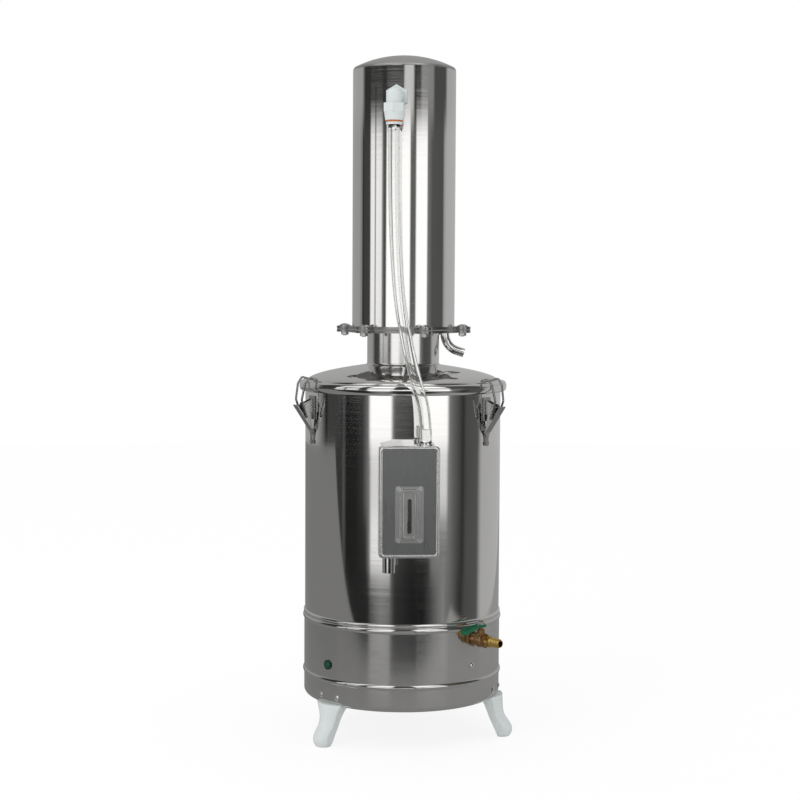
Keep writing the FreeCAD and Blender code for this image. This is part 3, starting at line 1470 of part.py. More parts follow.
def build_latch(index, angle, z):
    """Bracket, lever and wire bail of one lid latch, drawn with X outwards."""
    turn = outwards(angle)
    name = "latch_%s_%d" % ("%s", index)
    x, height = d.barrel_radius + d.fulcrum_out, z["rim"] - d.fulcrum_drop
    across = Rotation(Vector(1, 0, 0), -90.0)
    back = d.barrel_radius + d.run_gap
    face = back + d.bracket_wall
    plate = box(d.bracket_wall, d.bracket_half_width * 2, d.bracket_up + d.bracket_down,
                (back, -d.bracket_half_width, height - d.bracket_down))
    ear_out = d.ear_inner + d.ear_wall
    lobe = [cylinder(d.latch_ear_radius, d.ear_wall, (x, side, height), across)
            for side in (-ear_out, d.ear_inner)]
    arm_outline = [
        (face - d.bracket_wall / 2, height - d.ear_half_root),
        (x, height - d.latch_ear_radius),
        (x, height + d.latch_ear_radius),
        (face - d.bracket_wall / 2, height + d.ear_half_root),
    ]
    arms = [place(padded("XZ_Plane", d.ear_wall, arm_outline), (0, side, 0))
            for side in (d.ear_inner + d.ear_wall, -d.ear_inner)]
    cheek_in = ear_out + d.cheek_gap
    cheek_out = cheek_in + d.cheek_wall
    pin_reach = cheek_out + d.run_gap + d.pin_head_wall
    pin = cylinder(d.pin_radius, pin_reach * 2, (x, -pin_reach, height), across)
    heads = [cylinder(d.pin_head_radius, d.pin_head_wall, (x, side, height), across)
             for side in (-pin_reach, pin_reach - d.pin_head_wall)]
    bracket = fuse(plate, pin, *lobe, *arms, *heads)
    node(name % "bracket", place(bracket, (0, 0, 0), turn))

    wall = d.cheek_wall
    tip_x, tip_z = x + d.lever_tip_out, height + d.lever_tip_rise
    heel_x, heel_z = x - d.lever_heel_in, height - d.lever_heel_drop
    run = root((tip_x - heel_x) * (tip_x - heel_x) + (tip_z - heel_z) * (tip_z - heel_z))
    off_x, off_z = (tip_z - heel_z) / run * wall, (tip_x - heel_x) / run * wall
    tail_in = d.barrel_radius + d.tail_out
    web = padded("XZ_Plane", cheek_out * 2, [
        (tail_in, heel_z - d.tail_lap),
        (tail_in + wall, heel_z - d.tail_lap),
        (heel_x, heel_z),
        (tip_x, tip_z),
        (tip_x - off_x, tip_z + off_z),
        (heel_x - off_x, heel_z + off_z),
    ], both_ways=True)
    cheek_outline = [
        (heel_x - off_x / 2, heel_z + off_z / 2),
        (heel_x - off_x / 2 + (tip_x - heel_x) * d.cheek_share,
         heel_z + off_z / 2 + (tip_z - heel_z) * d.cheek_share),
        (x + d.cheek_nose_out, height + d.cheek_nose_rise),
        (x + d.cheek_crest_out, height + d.cheek_back_rise),
        (x - d.cheek_back_in, height + d.cheek_back_rise),
        (x - d.cheek_back_in, height - d.cheek_nose_drop),
    ]
    cheeks = [place(padded("XZ_Plane", wall, cheek_outline), (0, side, 0))
              for side in (cheek_out, -cheek_in)]
    tail_top, tail_foot = heel_z, height - d.tail_drop
    knob = tail_foot + d.tail_knob_radius
    tail = place(padded("YZ_Plane", wall, [
        (-cheek_out, tail_top),
        (-d.tail_half_width, tail_top - d.tail_taper),
        (-d.tail_half_width, knob),
        (d.tail_half_width, knob),
        (d.tail_half_width, tail_top - d.tail_taper),
        (cheek_out, tail_top),
    ]), (tail_in, 0, 0))
    tail_knob = cylinder(d.tail_knob_radius, wall, (tail_in, 0, knob), Rotation(Vector(0, 1, 0), 90.0))
    pivot_x, pivot_z = x + d.bail_pivot_out, height - d.bail_pivot_drop
    long_pin = cylinder(d.pin_radius + d.pin_gap, cheek_out * 4, (x, -(cheek_out * 2), height), across)
    bail_eye = cylinder(d.bail_radius + d.pin_gap, cheek_out * 4,
                        (pivot_x, -(cheek_out * 2), pivot_z), across)
    lever = cut(fuse(web, tail, tail_knob, *cheeks), long_pin, bail_eye)
    node(name % "lever", place(lever, (0, 0, 0), turn))

    leg, shoulder, top = d.bail_leg_place, d.bail_shoulder_place, d.bail_top_place
    half = [
        (pivot_x, cheek_in + d.pin_gap, pivot_z),
        (pivot_x, leg, pivot_z),
        (x + d.bail_knee_out, leg + d.pin_gap, height + d.bail_knee_rise),
        (x + d.bail_shoulder_out, shoulder, height + d.bail_shoulder_rise),
        (x - d.bail_top_in, top, height + d.bail_top_rise),
        (x - d.bail_bar_in, top, height + d.bail_bar_rise),
    ]
    points = [(px, -py, pz) for px, py, pz in half] + half[::-1]
    small, large = d.bail_bend_radius, d.bail_bend_radius * 2
    half_radii = [d.bail_foot_bend_radius, large, large, small, small]
    bail = pipe(points, half_radii + half_radii[::-1], d.bail_radius)
    node(name % "bail", place(bail, (0, 0, 0), turn))


def export_nodes():
    """Check the document and write each sub-part to its own file."""
    document.recompute()
    faults = [item.Label for item in document.Objects if {"Invalid", "Error"} & set(item.State)]
    if faults:
        raise RuntimeError("objects with faults: " + ", ".join(faults))
    os.makedirs(OUTPUT_FOLDER, exist_ok=True)
    for label, item in nodes.items():
        if item.Shape.isNull() or not item.Shape.isValid() or not item.Shape.Solids:
            raise RuntimeError("no valid solid in " + label)
    for label, item in nodes.items():
        item.Shape.exportStep(os.path.join(OUTPUT_FOLDER, label + ".step"))
    print("%d sub-parts" % len(nodes))


def main():
    """Build the distiller from the base up and write its sub-parts."""
    write_sheet()
    z = levels()
    build_base(z)
    build_pot(z)
    build_heaters(z)
    build_lid(z)
    build_flanges(z)
    build_condenser(z)
    build_condenser_inside(z)
    build_outlet(z)
    build_inlet(z)
    hose_top = build_elbow(z)
    hose_foot = build_box(z)
    build_hose(hose_top, hose_foot)
    build_sight(z)
    build_feet(z)
    build_base_fittings(z)
    build_drain(z)
    build_valve(z)
    for index, angle in enumerate(latch_angles(), start=1):
        build_latch(index, angle, z)
    export_nodes()


main()
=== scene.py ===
"""Studio picture of an electric water distiller in stainless steel.

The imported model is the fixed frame. This file dresses it: polished and brushed steel, moulded plastic,
brass, glass, rubber and a clear hose, on a white floor in plain studio light. Lengths in the classes are
millimetres unless a name says otherwise, and one function turns them to metres.
"""

import logging
import math
from abc import ABC, abstractmethod
from dataclasses import dataclass
from enum import Enum
from typing import Any, Mapping, Optional, Sequence

import bmesh
import bpy
from mathutils import Matrix, Vector


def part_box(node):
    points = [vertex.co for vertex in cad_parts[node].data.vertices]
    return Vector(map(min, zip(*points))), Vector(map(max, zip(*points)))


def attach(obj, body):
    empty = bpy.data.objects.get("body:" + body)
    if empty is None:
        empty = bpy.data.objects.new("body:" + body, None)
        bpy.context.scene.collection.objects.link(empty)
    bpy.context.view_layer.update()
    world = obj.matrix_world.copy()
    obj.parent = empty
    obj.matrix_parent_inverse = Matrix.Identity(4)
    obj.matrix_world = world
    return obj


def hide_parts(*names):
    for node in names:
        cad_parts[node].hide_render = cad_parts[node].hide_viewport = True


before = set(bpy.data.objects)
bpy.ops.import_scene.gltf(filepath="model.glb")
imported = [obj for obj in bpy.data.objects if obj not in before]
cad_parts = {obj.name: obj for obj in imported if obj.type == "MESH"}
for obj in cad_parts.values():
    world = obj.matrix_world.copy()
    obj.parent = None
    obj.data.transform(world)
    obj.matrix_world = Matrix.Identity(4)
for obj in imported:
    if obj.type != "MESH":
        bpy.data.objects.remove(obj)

LOG = logging.getLogger("distiller")
STILL = "still"
Point = tuple[float, float, float]
Marks = tuple[tuple[float, float], ...]


class Ray(str, Enum):
    """Kinds of light path that the studio answers in its own way."""

    CAMERA = "Is Camera Ray"
    GLOSSY = "Is Glossy Ray"
    TRANSMISSION = "Is Transmission Ray"


class Skin(Enum):
    """The finishes that the still wears."""

    MIRROR = "mirror"
    LATCH = "latch"
    DRUM = "drum"
    NECK = "neck"
    CAP = "cap"
    FLANGE = "flange"
    BOX = "box"
    FRAME = "frame"
    EDGE = "edge"
    STEP = "step"
    SCREW = "screw"
    INSIDE = "inside"
    ZINC = "zinc"
    WHITE = "white"
    AMBER = "amber"
    SILICONE = "silicone"
    GRAPHITE = "graphite"
    RUBBER = "rubber"
    NYLON = "nylon"
    BEZEL = "bezel"
    TERMINAL = "terminal"
    LENS = "lens"
    GRIP = "grip"
    BRASS = "brass"
    TAIL = "tail"
    GLASS = "glass"
    HOSE = "hose"


def metres(*lengths: float) -> Vector:
    """Turn millimetres into metres.

    Args:
        lengths: three lengths in millimetres.

    Returns:
        The same lengths in metres, as a vector.
    """
    return Vector(lengths) * 0.001


def linear(colour: str) -> tuple[float, float, float, float]:
    """Turn an sRGB hex colour into the linear values that a shader takes.

    Args:
        colour: six hex digits after a hash mark.

    Returns:
        Linear red, green, blue and an alpha of one.
    """
    parts = [int(colour[index:index + 2], 16) / 255.0 for index in (1, 3, 5)]
    toned = [part / 12.92 if part <= 0.04045 else ((part + 0.055) / 1.055) ** 2.4 for part in parts]
    return (toned[0], toned[1], toned[2], 1.0)


def grey(level: float) -> tuple[float, float, float, float]:
    """A linear grey with an alpha of one."""
    return (level, level, level, 1.0)


def feed(tree: bpy.types.NodeTree, node: bpy.types.Node, inputs: Mapping[Any, Any]) -> None:
    """Link or set a node's inputs.

    Args:
        tree: the node tree that holds it.
        node: the node.
        inputs: input names or numbers, each with the output that feeds it or the value that it holds.
    """
    for socket, source in inputs.items():
        if isinstance(source, bpy.types.NodeSocket):
            tree.links.new(source, node.inputs[socket])
        else:
            node.inputs[socket].default_value = source


def add(tree: bpy.types.NodeTree, kind: str, inputs: Optional[Mapping[Any, Any]] = None,
        **settings: Any) -> bpy.types.Node:
    """Add a shader node with its settings and links.

    Args:
        tree: the node tree that takes it.
        kind: the node's type name.
        inputs: input names or numbers, each with the output that feeds it or the value that it holds.
        settings: attributes of the node.

    Returns:
        The new node.
    """
    node = tree.nodes.new(kind)
    for name, value in settings.items():
        setattr(node, name, value)
    feed(tree, node, inputs or {})
    return node


def fresh_material(name: str) -> tuple[bpy.types.Material, bpy.types.NodeTree, bpy.types.Node]:
    """Make a material that holds a lone Principled shader.

    Args:
        name: the material's name.

    Returns:
        The material, its tree and the shader.
    """
    material = bpy.data.materials.new(name)
    material.use_nodes = True
    tree = material.node_tree
    tree.nodes.clear()
    shader = add(tree, "ShaderNodeBsdfPrincipled")
    add(tree, "ShaderNodeOutputMaterial", {"Surface": shader.outputs["BSDF"]})
    return material, tree, shader


def dress(material: bpy.types.Material, piece: bpy.types.Object) -> None:
    """Give a piece one material all over.

    Args:
        material: the finish.
        piece: the object that takes it.
    """
    if not piece.data.materials:
        piece.data.materials.append(material)
    for index in range(len(piece.data.materials)):
        piece.data.materials[index] = material


def close_rings(shape: bmesh.types.BMesh, rings: Sequence[Sequence[bmesh.types.BMVert]]) -> None:
    """Join closed sections, set one after the other round a loop, into one closed skin.

    Args:
        shape: the mesh that holds them.
        rings: the sections' corners.
    """
    for ring, following in zip(rings, list(rings[1:]) + [rings[0]]):
        for index in range(len(ring)):
            after = (index + 1) % len(ring)
            shape.faces.new((ring[index], ring[after], following[after], following[index]))
    bmesh.ops.recalc_face_normals(shape, faces=shape.faces)


def finish_piece(shape: bmesh.types.BMesh, name: str, finish: bpy.types.Material,
                 replaced: Optional[str] = None) -> bpy.types.Object:
    """Turn a mesh into a dressed steel piece that rides on the still.

    Args:
        shape: the mesh, which is freed.
        name: the piece's name.
        finish: its material.
        replaced: the CAD node that it stands for, or None.

    Returns:
        The piece.
    """
    mesh = bpy.data.meshes.new(name)
    for face in shape.faces:
        face.smooth = True
    shape.to_mesh(mesh)
    shape.free()
    piece = bpy.data.objects.new(name, mesh)
    bpy.context.scene.collection.objects.link(piece)
    dress(finish, piece)
    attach(piece, STILL)
    if replaced:
        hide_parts(replaced)
    LOG.info("%s built in %s", name, finish.name)
    return piece


@dataclass(frozen=True)
class Finish(ABC):
    """A finish of the still, which builds its own material."""

    name: str

    @abstractmethod
    def material(self) -> bpy.types.Material:
        """Build the finish."""


@dataclass(frozen=True)
class MirrorSteel(Finish):
    """Bright-polished austenitic stainless sheet, spun or rolled and then buffed.

    The eye sees clear reflections that wander a little, because thin sheet is never quite flat, and a
    faint haze of buffing lines round the sheet. Real buffing lines are far finer than these, which are
    drawn as coarse as they need to be to show.
    """

    name: str = "mirror_polished_stainless"
    colour: str = "#EDECEA"
    roughness: float = 0.045
    haze: float = 0.05
    haze_range: tuple[float, float] = (0.35, 0.75)
    wander_mm: float = 70.0
    wander: float = 0.05
    wander_rise_mm: float = 4.0
    wander_share: Point = (1.0, 1.0, 0.28)
    line_mm: float = 1.6
    line_share: Point = (0.02, 0.02, 1.0)

    def material(self) -> bpy.types.Material:
        """Build the finish."""
        made, tree, shader = fresh_material(self.name)
        place = add(tree, "ShaderNodeTexCoord").outputs["Object"]
        sheet = add(tree, "ShaderNodeMapping", {"Scale": self.wander_share, "Vector": place})
        waves = add(tree, "ShaderNodeTexNoise", {
            "Scale": 1000.0 / self.wander_mm, "Detail": 1.0, "Roughness": 0.4,
            "Vector": sheet.outputs["Vector"]})
        bump = add(tree, "ShaderNodeBump", {
            "Strength": self.wander, "Distance": self.wander_rise_mm / 1000.0,
            "Height": waves.outputs["Fac"]})
        buff = add(tree, "ShaderNodeMapping", {"Scale": self.line_share, "Vector": place})
        lines = add(tree, "ShaderNodeTexNoise", {
            "Scale": 1000.0 / self.line_mm, "Detail": 2.0, "Roughness": 0.6,
            "Vector": buff.outputs["Vector"]})
        haze = add(tree, "ShaderNodeMapRange", {
            "From Min": self.haze_range[0], "From Max": self.haze_range[1], "To Min": self.roughness,
            "To Max": self.roughness + self.haze, "Value": lines.outputs["Fac"]})
        feed(tree, shader, {"Roughness": haze.outputs["Result"], "Normal": bump.outputs["Normal"],
                            "Base Color": linear(self.colour), "Metallic": 1.0})
        return made


@dataclass(frozen=True)
class BrushedSteel(Finish):
    """Stainless sheet or bar with a ground grain, as it leaves a fine belt.

    The eye sees soft, drawn-out highlights and hair-fine lines along the grain. The real grain is about a
    tenth of a millimetre, too fine to show, so it is drawn several times as coarse.
    """

    colour: str = "#CFCECC"
    roughness: float = 0.26
    spread: float = 0.14
    grain_range: tuple[float, float] = (0.3, 0.7)
    grain_mm: float = 0.9
    grain_share: Point = (0.03, 0.03, 1.0)
    depth: float = 0.12
    depth_mm: float = 0.2

    def material(self) -> bpy.types.Material:
        """Build the finish."""
        made, tree, shader = fresh_material(self.name)
        place = add(tree, "ShaderNodeTexCoord").outputs["Object"]
        drawn = add(tree, "ShaderNodeMapping", {"Scale": self.grain_share, "Vector": place})
        grain = add(tree, "ShaderNodeTexNoise", {
            "Scale": 1000.0 / self.grain_mm, "Detail": 3.0, "Roughness": 0.65,
            "Vector": drawn.outputs["Vector"]})
        ground = add(tree, "ShaderNodeMapRange", {
            "From Min": self.grain_range[0], "From Max": self.grain_range[1], "To Min": self.roughness,
            "To Max": self.roughness + self.spread, "Value": grain.outputs["Fac"]})
        bump = add(tree, "ShaderNodeBump", {
            "Strength": self.depth, "Distance": self.depth_mm / 1000.0, "Height": grain.outputs["Fac"]})
        feed(tree, shader, {"Roughness": ground.outputs["Result"], "Normal": bump.outputs["Normal"],
                            "Base Color": linear(self.colour), "Metallic": 1.0})
        self.vary(tree, shader, place, ground.outputs["Result"])
        return made

    def vary(self, tree: bpy.types.NodeTree, shader: bpy.types.Node, place: bpy.types.NodeSocket,
             ground: bpy.types.NodeSocket) -> None:
        """Leave the sheet alike all over. Sheets whose parts differ say how.

        Args:
            tree: the material's node tree.
            shader: its shader.
            place: the place on the piece.
            ground: the ground sheet's roughness.
        """


@dataclass(frozen=True)
class BoxSheet(BrushedSteel):
    """Folded sheet with polished sides and top, and a front that is brushed upright.

    The eye sees a bright top that mirrors the pot, and a quiet grey front whose darker colour is painted
    shade.
    """

    polished: str = "#E9E8E6"
    polished_roughness: float = 0.09
    front_mm: float = 165.2
    blend_mm: float = 0.3

    def vary(self, tree: bpy.types.NodeTree, shader: bpy.types.Node, place: bpy.types.NodeSocket,
             ground: bpy.types.NodeSocket) -> None:
        """Polish all but the front.

        Args:
            tree: the material's node tree.
            shader: its shader.
            place: the place on the piece.
            ground: the brushed front's roughness.
        """
        parts = add(tree, "ShaderNodeSeparateXYZ", {"Vector": place})
        front = add(tree, "ShaderNodeMapRange", {
            "From Min": (self.blend_mm - self.front_mm) / 1000.0, "From Max": -self.front_mm / 1000.0,
            "Value": parts.outputs["Y"]}).outputs["Result"]
        rough = add(tree, "ShaderNodeMix", {"A": self.polished_roughness, "Factor": front, "B": ground})
        # The front takes a darker grey than the polished folds: painted shade.
        tone = add(tree, "ShaderNodeMix", {
            "A": linear(self.polished), "B": linear(self.colour), "Factor": front}, data_type="RGBA")
        feed(tree, shader, {"Roughness": rough.outputs["Result"], "Base Color": tone.outputs["Result"]})


@dataclass(frozen=True)
class DrumSheet(BrushedSteel):
    """Rolled drum sheet, ground round the drum, with its two pressed beads buffed bright.

    The eye sees upright soft strips that are sharp from side to side, and crisp dashes on the beads.
    """

    stretch: float = 0.85
    quarter_turn: float = 0.25
    bead_from_mm: float = 121.8
    bead_blend_mm: float = 0.3
    bead_roughness: float = 0.05

    def vary(self, tree: bpy.types.NodeTree, shader: bpy.types.Node, place: bpy.types.NodeSocket,
             ground: bpy.types.NodeSocket) -> None:
        """Stretch the highlights across the grain and buff the beads.

        Args:
            tree: the material's node tree.
            shader: its shader.
            place: the place on the piece.
            ground: the ground sheet's roughness.
        """
        round_drum = add(tree, "ShaderNodeTangent", direction_type="RADIAL", axis="Z")
        flat = add(tree, "ShaderNodeVectorMath", {1: (1.0, 1.0, 0.0), 0: place}, operation="MULTIPLY")
        out = add(tree, "ShaderNodeVectorMath", {0: flat.outputs["Vector"]}, operation="LENGTH")
        bead = add(tree, "ShaderNodeMapRange", {
            "From Min": self.bead_from_mm / 1000.0,
            "From Max": (self.bead_from_mm + self.bead_blend_mm) / 1000.0,
            "Value": out.outputs["Value"]})
        rough = add(tree, "ShaderNodeMix", {
            "B": self.bead_roughness, "Factor": bead.outputs["Result"], "A": ground})
        feed(tree, shader, {"Tangent": round_drum.outputs["Tangent"], "Anisotropic": self.stretch,
                            "Anisotropic Rotation": self.quarter_turn, "Roughness": rough.outputs["Result"]})


@dataclass(frozen=True)
class Moulded(Finish):
    """Plastic, rubber or graphite, moulded, dipped or pressed, glossy or matt.

    The eye sees an even colour whose highlights waver with the skin of the tool.
    """

    colour: str
    roughness: float = 0.28
    smoothest: float = -0.04
    roughest: float = 0.06
    skin_mm: float = 2.2
    depth: float = 0.06
    depth_mm: float = 0.3
    ior: float = 1.49
    milkiness: float = 0.0
    scatter_mm: float = 4.0

    def material(self) -> bpy.types.Material:
        """Build the finish."""
        made, tree, shader = fresh_material(self.name)
        place = add(tree, "ShaderNodeTexCoord").outputs["Object"]
        skin = add(tree, "ShaderNodeTexNoise", {
            "Scale": 1000.0 / self.skin_mm, "Detail": 2.0, "Vector": place})
        bump = add(tree, "ShaderNodeBump", {
            "Strength": self.depth, "Distance": self.depth_mm / 1000.0, "Height": skin.outputs["Fac"]})
        wear = add(tree, "ShaderNodeMapRange", {
            "To Min": self.roughness + self.smoothest, "To Max": self.roughness + self.roughest,
            "Value": skin.outputs["Fac"]})
        feed(tree, shader, {"Roughness": wear.outputs["Result"], "Normal": bump.outputs["Normal"],
                            "Base Color": linear(self.colour), "IOR": self.ior})
        if self.milkiness:
            feed(tree, shader, {"Subsurface Weight": self.milkiness,
                                "Subsurface Radius": metres(*[self.scatter_mm] * 3)})
        return made


@dataclass(frozen=True)
class TurnedBrass(Finish):
    """Cast and turned brass.

    The eye sees a dull, handled surface that clouds into brighter turned lands.
    """

    colour: str
    dull: str
    roughness: float = 0.28
    smoothest: float = -0.06
    roughest: float = 0.14
    cloud_mm: float = 5.56

    def material(self) -> bpy.types.Material:
        """Build the finish."""
        made, tree, shader = fresh_material(self.name)
        place = add(tree, "ShaderNodeTexCoord").outputs["Object"]
        cloud = add(tree, "ShaderNodeTexNoise", {
            "Scale": 1000.0 / self.cloud_mm, "Detail": 4.0, "Vector": place}).outputs["Fac"]
        tone = add(tree, "ShaderNodeMix", {
            "A": linear(self.colour), "B": linear(self.dull), "Factor": cloud}, data_type="RGBA")
        rough = add(tree, "ShaderNodeMapRange", {
            "To Min": self.roughness + self.smoothest, "To Max": self.roughness + self.roughest,
            "Value": cloud})
        feed(tree, shader, {"Base Color": tone.outputs["Result"], "Roughness": rough.outputs["Result"],
                            "Metallic": 1.0})
        return made


@dataclass(frozen=True)
class Clear(Finish):
    """Clear soft PVC or glass, extruded or drawn smooth.

    The eye sees through it, with bright edges and a slight tint where it is thick.
    """

    ior: float
    colour: str = "#FBFCFB"

    def material(self) -> bpy.types.Material:
        """Build the finish."""
        made, tree, shader = fresh_material(self.name)
        feed(tree, shader, {"Base Color": linear(self.colour), "IOR": self.ior, "Roughness": 0.0,
                            "Transmission Weight": 1.0})
        return made


FINISHES: dict[Skin, Finish] = {
    # Buffed sheet mirrors the room, with a slight wander.
    Skin.MIRROR: MirrorSteel(),
    # Pressed strip that is tumbled, not buffed, stands out grey against the polished pot.
    Skin.LATCH: BrushedSteel("pressed_latch_steel", colour="#A9A9A8", roughness=0.2, spread=0.06, depth=0.01),
    # Sheet ground round the drum shows soft upright strips.
    Skin.DRUM: DrumSheet("ground_stainless_drum", colour="#DCDBD9", roughness=0.1, spread=0.05, depth=0.0),
    # Tube from the mill, lightly polished, blurs its strips a little.
    Skin.NECK: BrushedSteel("satin_neck_tube", colour="#E6E5E3", roughness=0.12, spread=0.06, depth=0.01),
    # Spun and left unbuffed, the cap is an even soft grey.
    Skin.CAP: BrushedSteel("spun_stainless_cap", roughness=0.36),
    # Cut plate has a coarser grain; its darker grey is painted shade, standing in for the shadow under the
    # flanges.
    Skin.FLANGE: BrushedSteel("laser_cut_flange", colour="#A3A2A0", roughness=0.2, grain_mm=1.4),
    # The front's grain runs upright, and its quiet grey between the polished folds is painted shade.
    Skin.BOX: BoxSheet("brushed_box_sheet", colour="#9FA0A0", grain_share=(1.0, 0.04, 0.04)),
    # A satin pressing is lighter than the front round it, whose darker grey is painted shade.
    Skin.FRAME: BrushedSteel("satin_sight_frame", colour="#D2D2D1", roughness=0.28, spread=0.06, depth=0.02),
    # Pure white, brighter than steel can be, paints a highlight on the edge bead and the screws as a pale
    # line round the front.
    Skin.EDGE: BrushedSteel("edge_bead_painted_highlight", colour="#FFFFFF", roughness=0.24, spread=0.04, depth=0.01),
    # Buffed steps catch small sharp lights round the window.
    Skin.STEP: BrushedSteel("buffed_step_bead", colour="#F4F3F1", roughness=0.1, spread=0.02, depth=0.0),
    # Turned screw heads are small and true, so nothing in them wanders.
    Skin.SCREW: MirrorSteel("bright_screw_steel", wander=0.0),
    # Unpolished tube and bar inside the still is plain satin.
    Skin.INSIDE: BrushedSteel("inner_stainless"),
    # Zinc plate is a little bluer than stainless, and cloudy.
    Skin.ZINC: BrushedSteel("zinc_plated_steel", colour="#C6C7C8", roughness=0.22, grain_mm=0.6),
    # Milky polypropylene lets a little light into its edges.
    Skin.WHITE: Moulded("white_polypropylene", "#CFD6D5", milkiness=0.15),
    # The clip ring is the one warm spot at the top.
    Skin.AMBER: Moulded("amber_clip_ring", "#B4672E"),
    # Cured silicone is matt and off-white.
    Skin.SILICONE: Moulded("white_silicone", "#E4E3DE", roughness=0.5),
    # Pressed graphite sheet is a flat mid grey.
    Skin.GRAPHITE: Moulded("grey_graphite_gasket", "#7C7C7A", roughness=0.5),
    # Black rubber swallows nearly all light behind the pane.
    Skin.RUBBER: Moulded("black_rubber", "#141414", roughness=0.55),
    # Nylon is black too, with a broad soft shine.
    Skin.NYLON: Moulded("black_nylon", "#1B1B1C", roughness=0.4),
    # The bezel is so dark a green that only its rim shows colour.
    Skin.BEZEL: Moulded("dark_green_bezel", "#0B2F24", roughness=0.3),
    # Phenolic resin is a warm cream with little shine.
    Skin.TERMINAL: Moulded("cream_phenolic", "#D9D4C6", roughness=0.45),
    # An unlit lens looks deep green with one sharp light.
    Skin.LENS: Moulded("green_lamp_lens", "#04402C", roughness=0.2),
    # Dipped vinyl is a fuller green, glossy at its bends.
    Skin.GRIP: Moulded("green_dipped_grip", "#075A3B", roughness=0.25),
    # Cast brass is handled and brownish.
    Skin.BRASS: TurnedBrass("cast_brass", "#C7A473", "#856141"),
    # Fresh from the lathe, the tails are yellower.
    Skin.TAIL: TurnedBrass("turned_brass", "#EFCD7E", "#B8924E"),
    # The pane is plain glass.
    Skin.GLASS: Clear("sight_glass_pane", ior=1.5),
    # Soft PVC, whose index is matched to faint edges and so lies below the usual 1.53.
    Skin.HOSE: Clear("clear_soft_pvc", ior=1.36),
}


@dataclass(frozen=True)
class Tier:
    """What polished metal mirrors of the room between two levels: greys by bearing, in degrees."""

    low: float
    high: float
    greys: Marks

    def colour(self, tree: bpy.types.NodeTree, share: bpy.types.NodeSocket) -> bpy.types.NodeSocket:
        """Draw the tier's greys all the way round the room.

        Args:
            tree: the world's node tree.
            share: the share of a full turn, from behind on the left to behind on the right.

        Returns:
            The grey at that bearing.
        """
        node = add(tree, "ShaderNodeValToRGB", {"Fac": share})
        marks = node.color_ramp.elements
        while len(marks) < len(self.greys):
            marks.new(1.0)
        for mark, (bearing, level) in zip(marks, self.greys):
            mark.position = (bearing + 180.0) / 360.0
            mark.color = grey(level)
        return node.outputs["Color"]


# Three soft panels to the left of the camera's line and one to the right, with dark between them
PANELS: Marks = (
    (-180, 0.4), (-118, 0.36), (-107, 0.2), (-105, 0.02), (-80, 0.05), (-78.5, 1.1), (-69, 1.1),
    (-66.5, 0.03), (-64, 1.1), (-51, 1.0), (-48.5, 0.06), (-40.5, 0.06), (-38, 1.3), (-12, 1.3),
    (-9, 0.06), (15.5, 0.06), (18.5, 1.3), (52, 1.3), (54.5, 0.1), (96, 0.06), (106, 0.38), (180, 0.44))


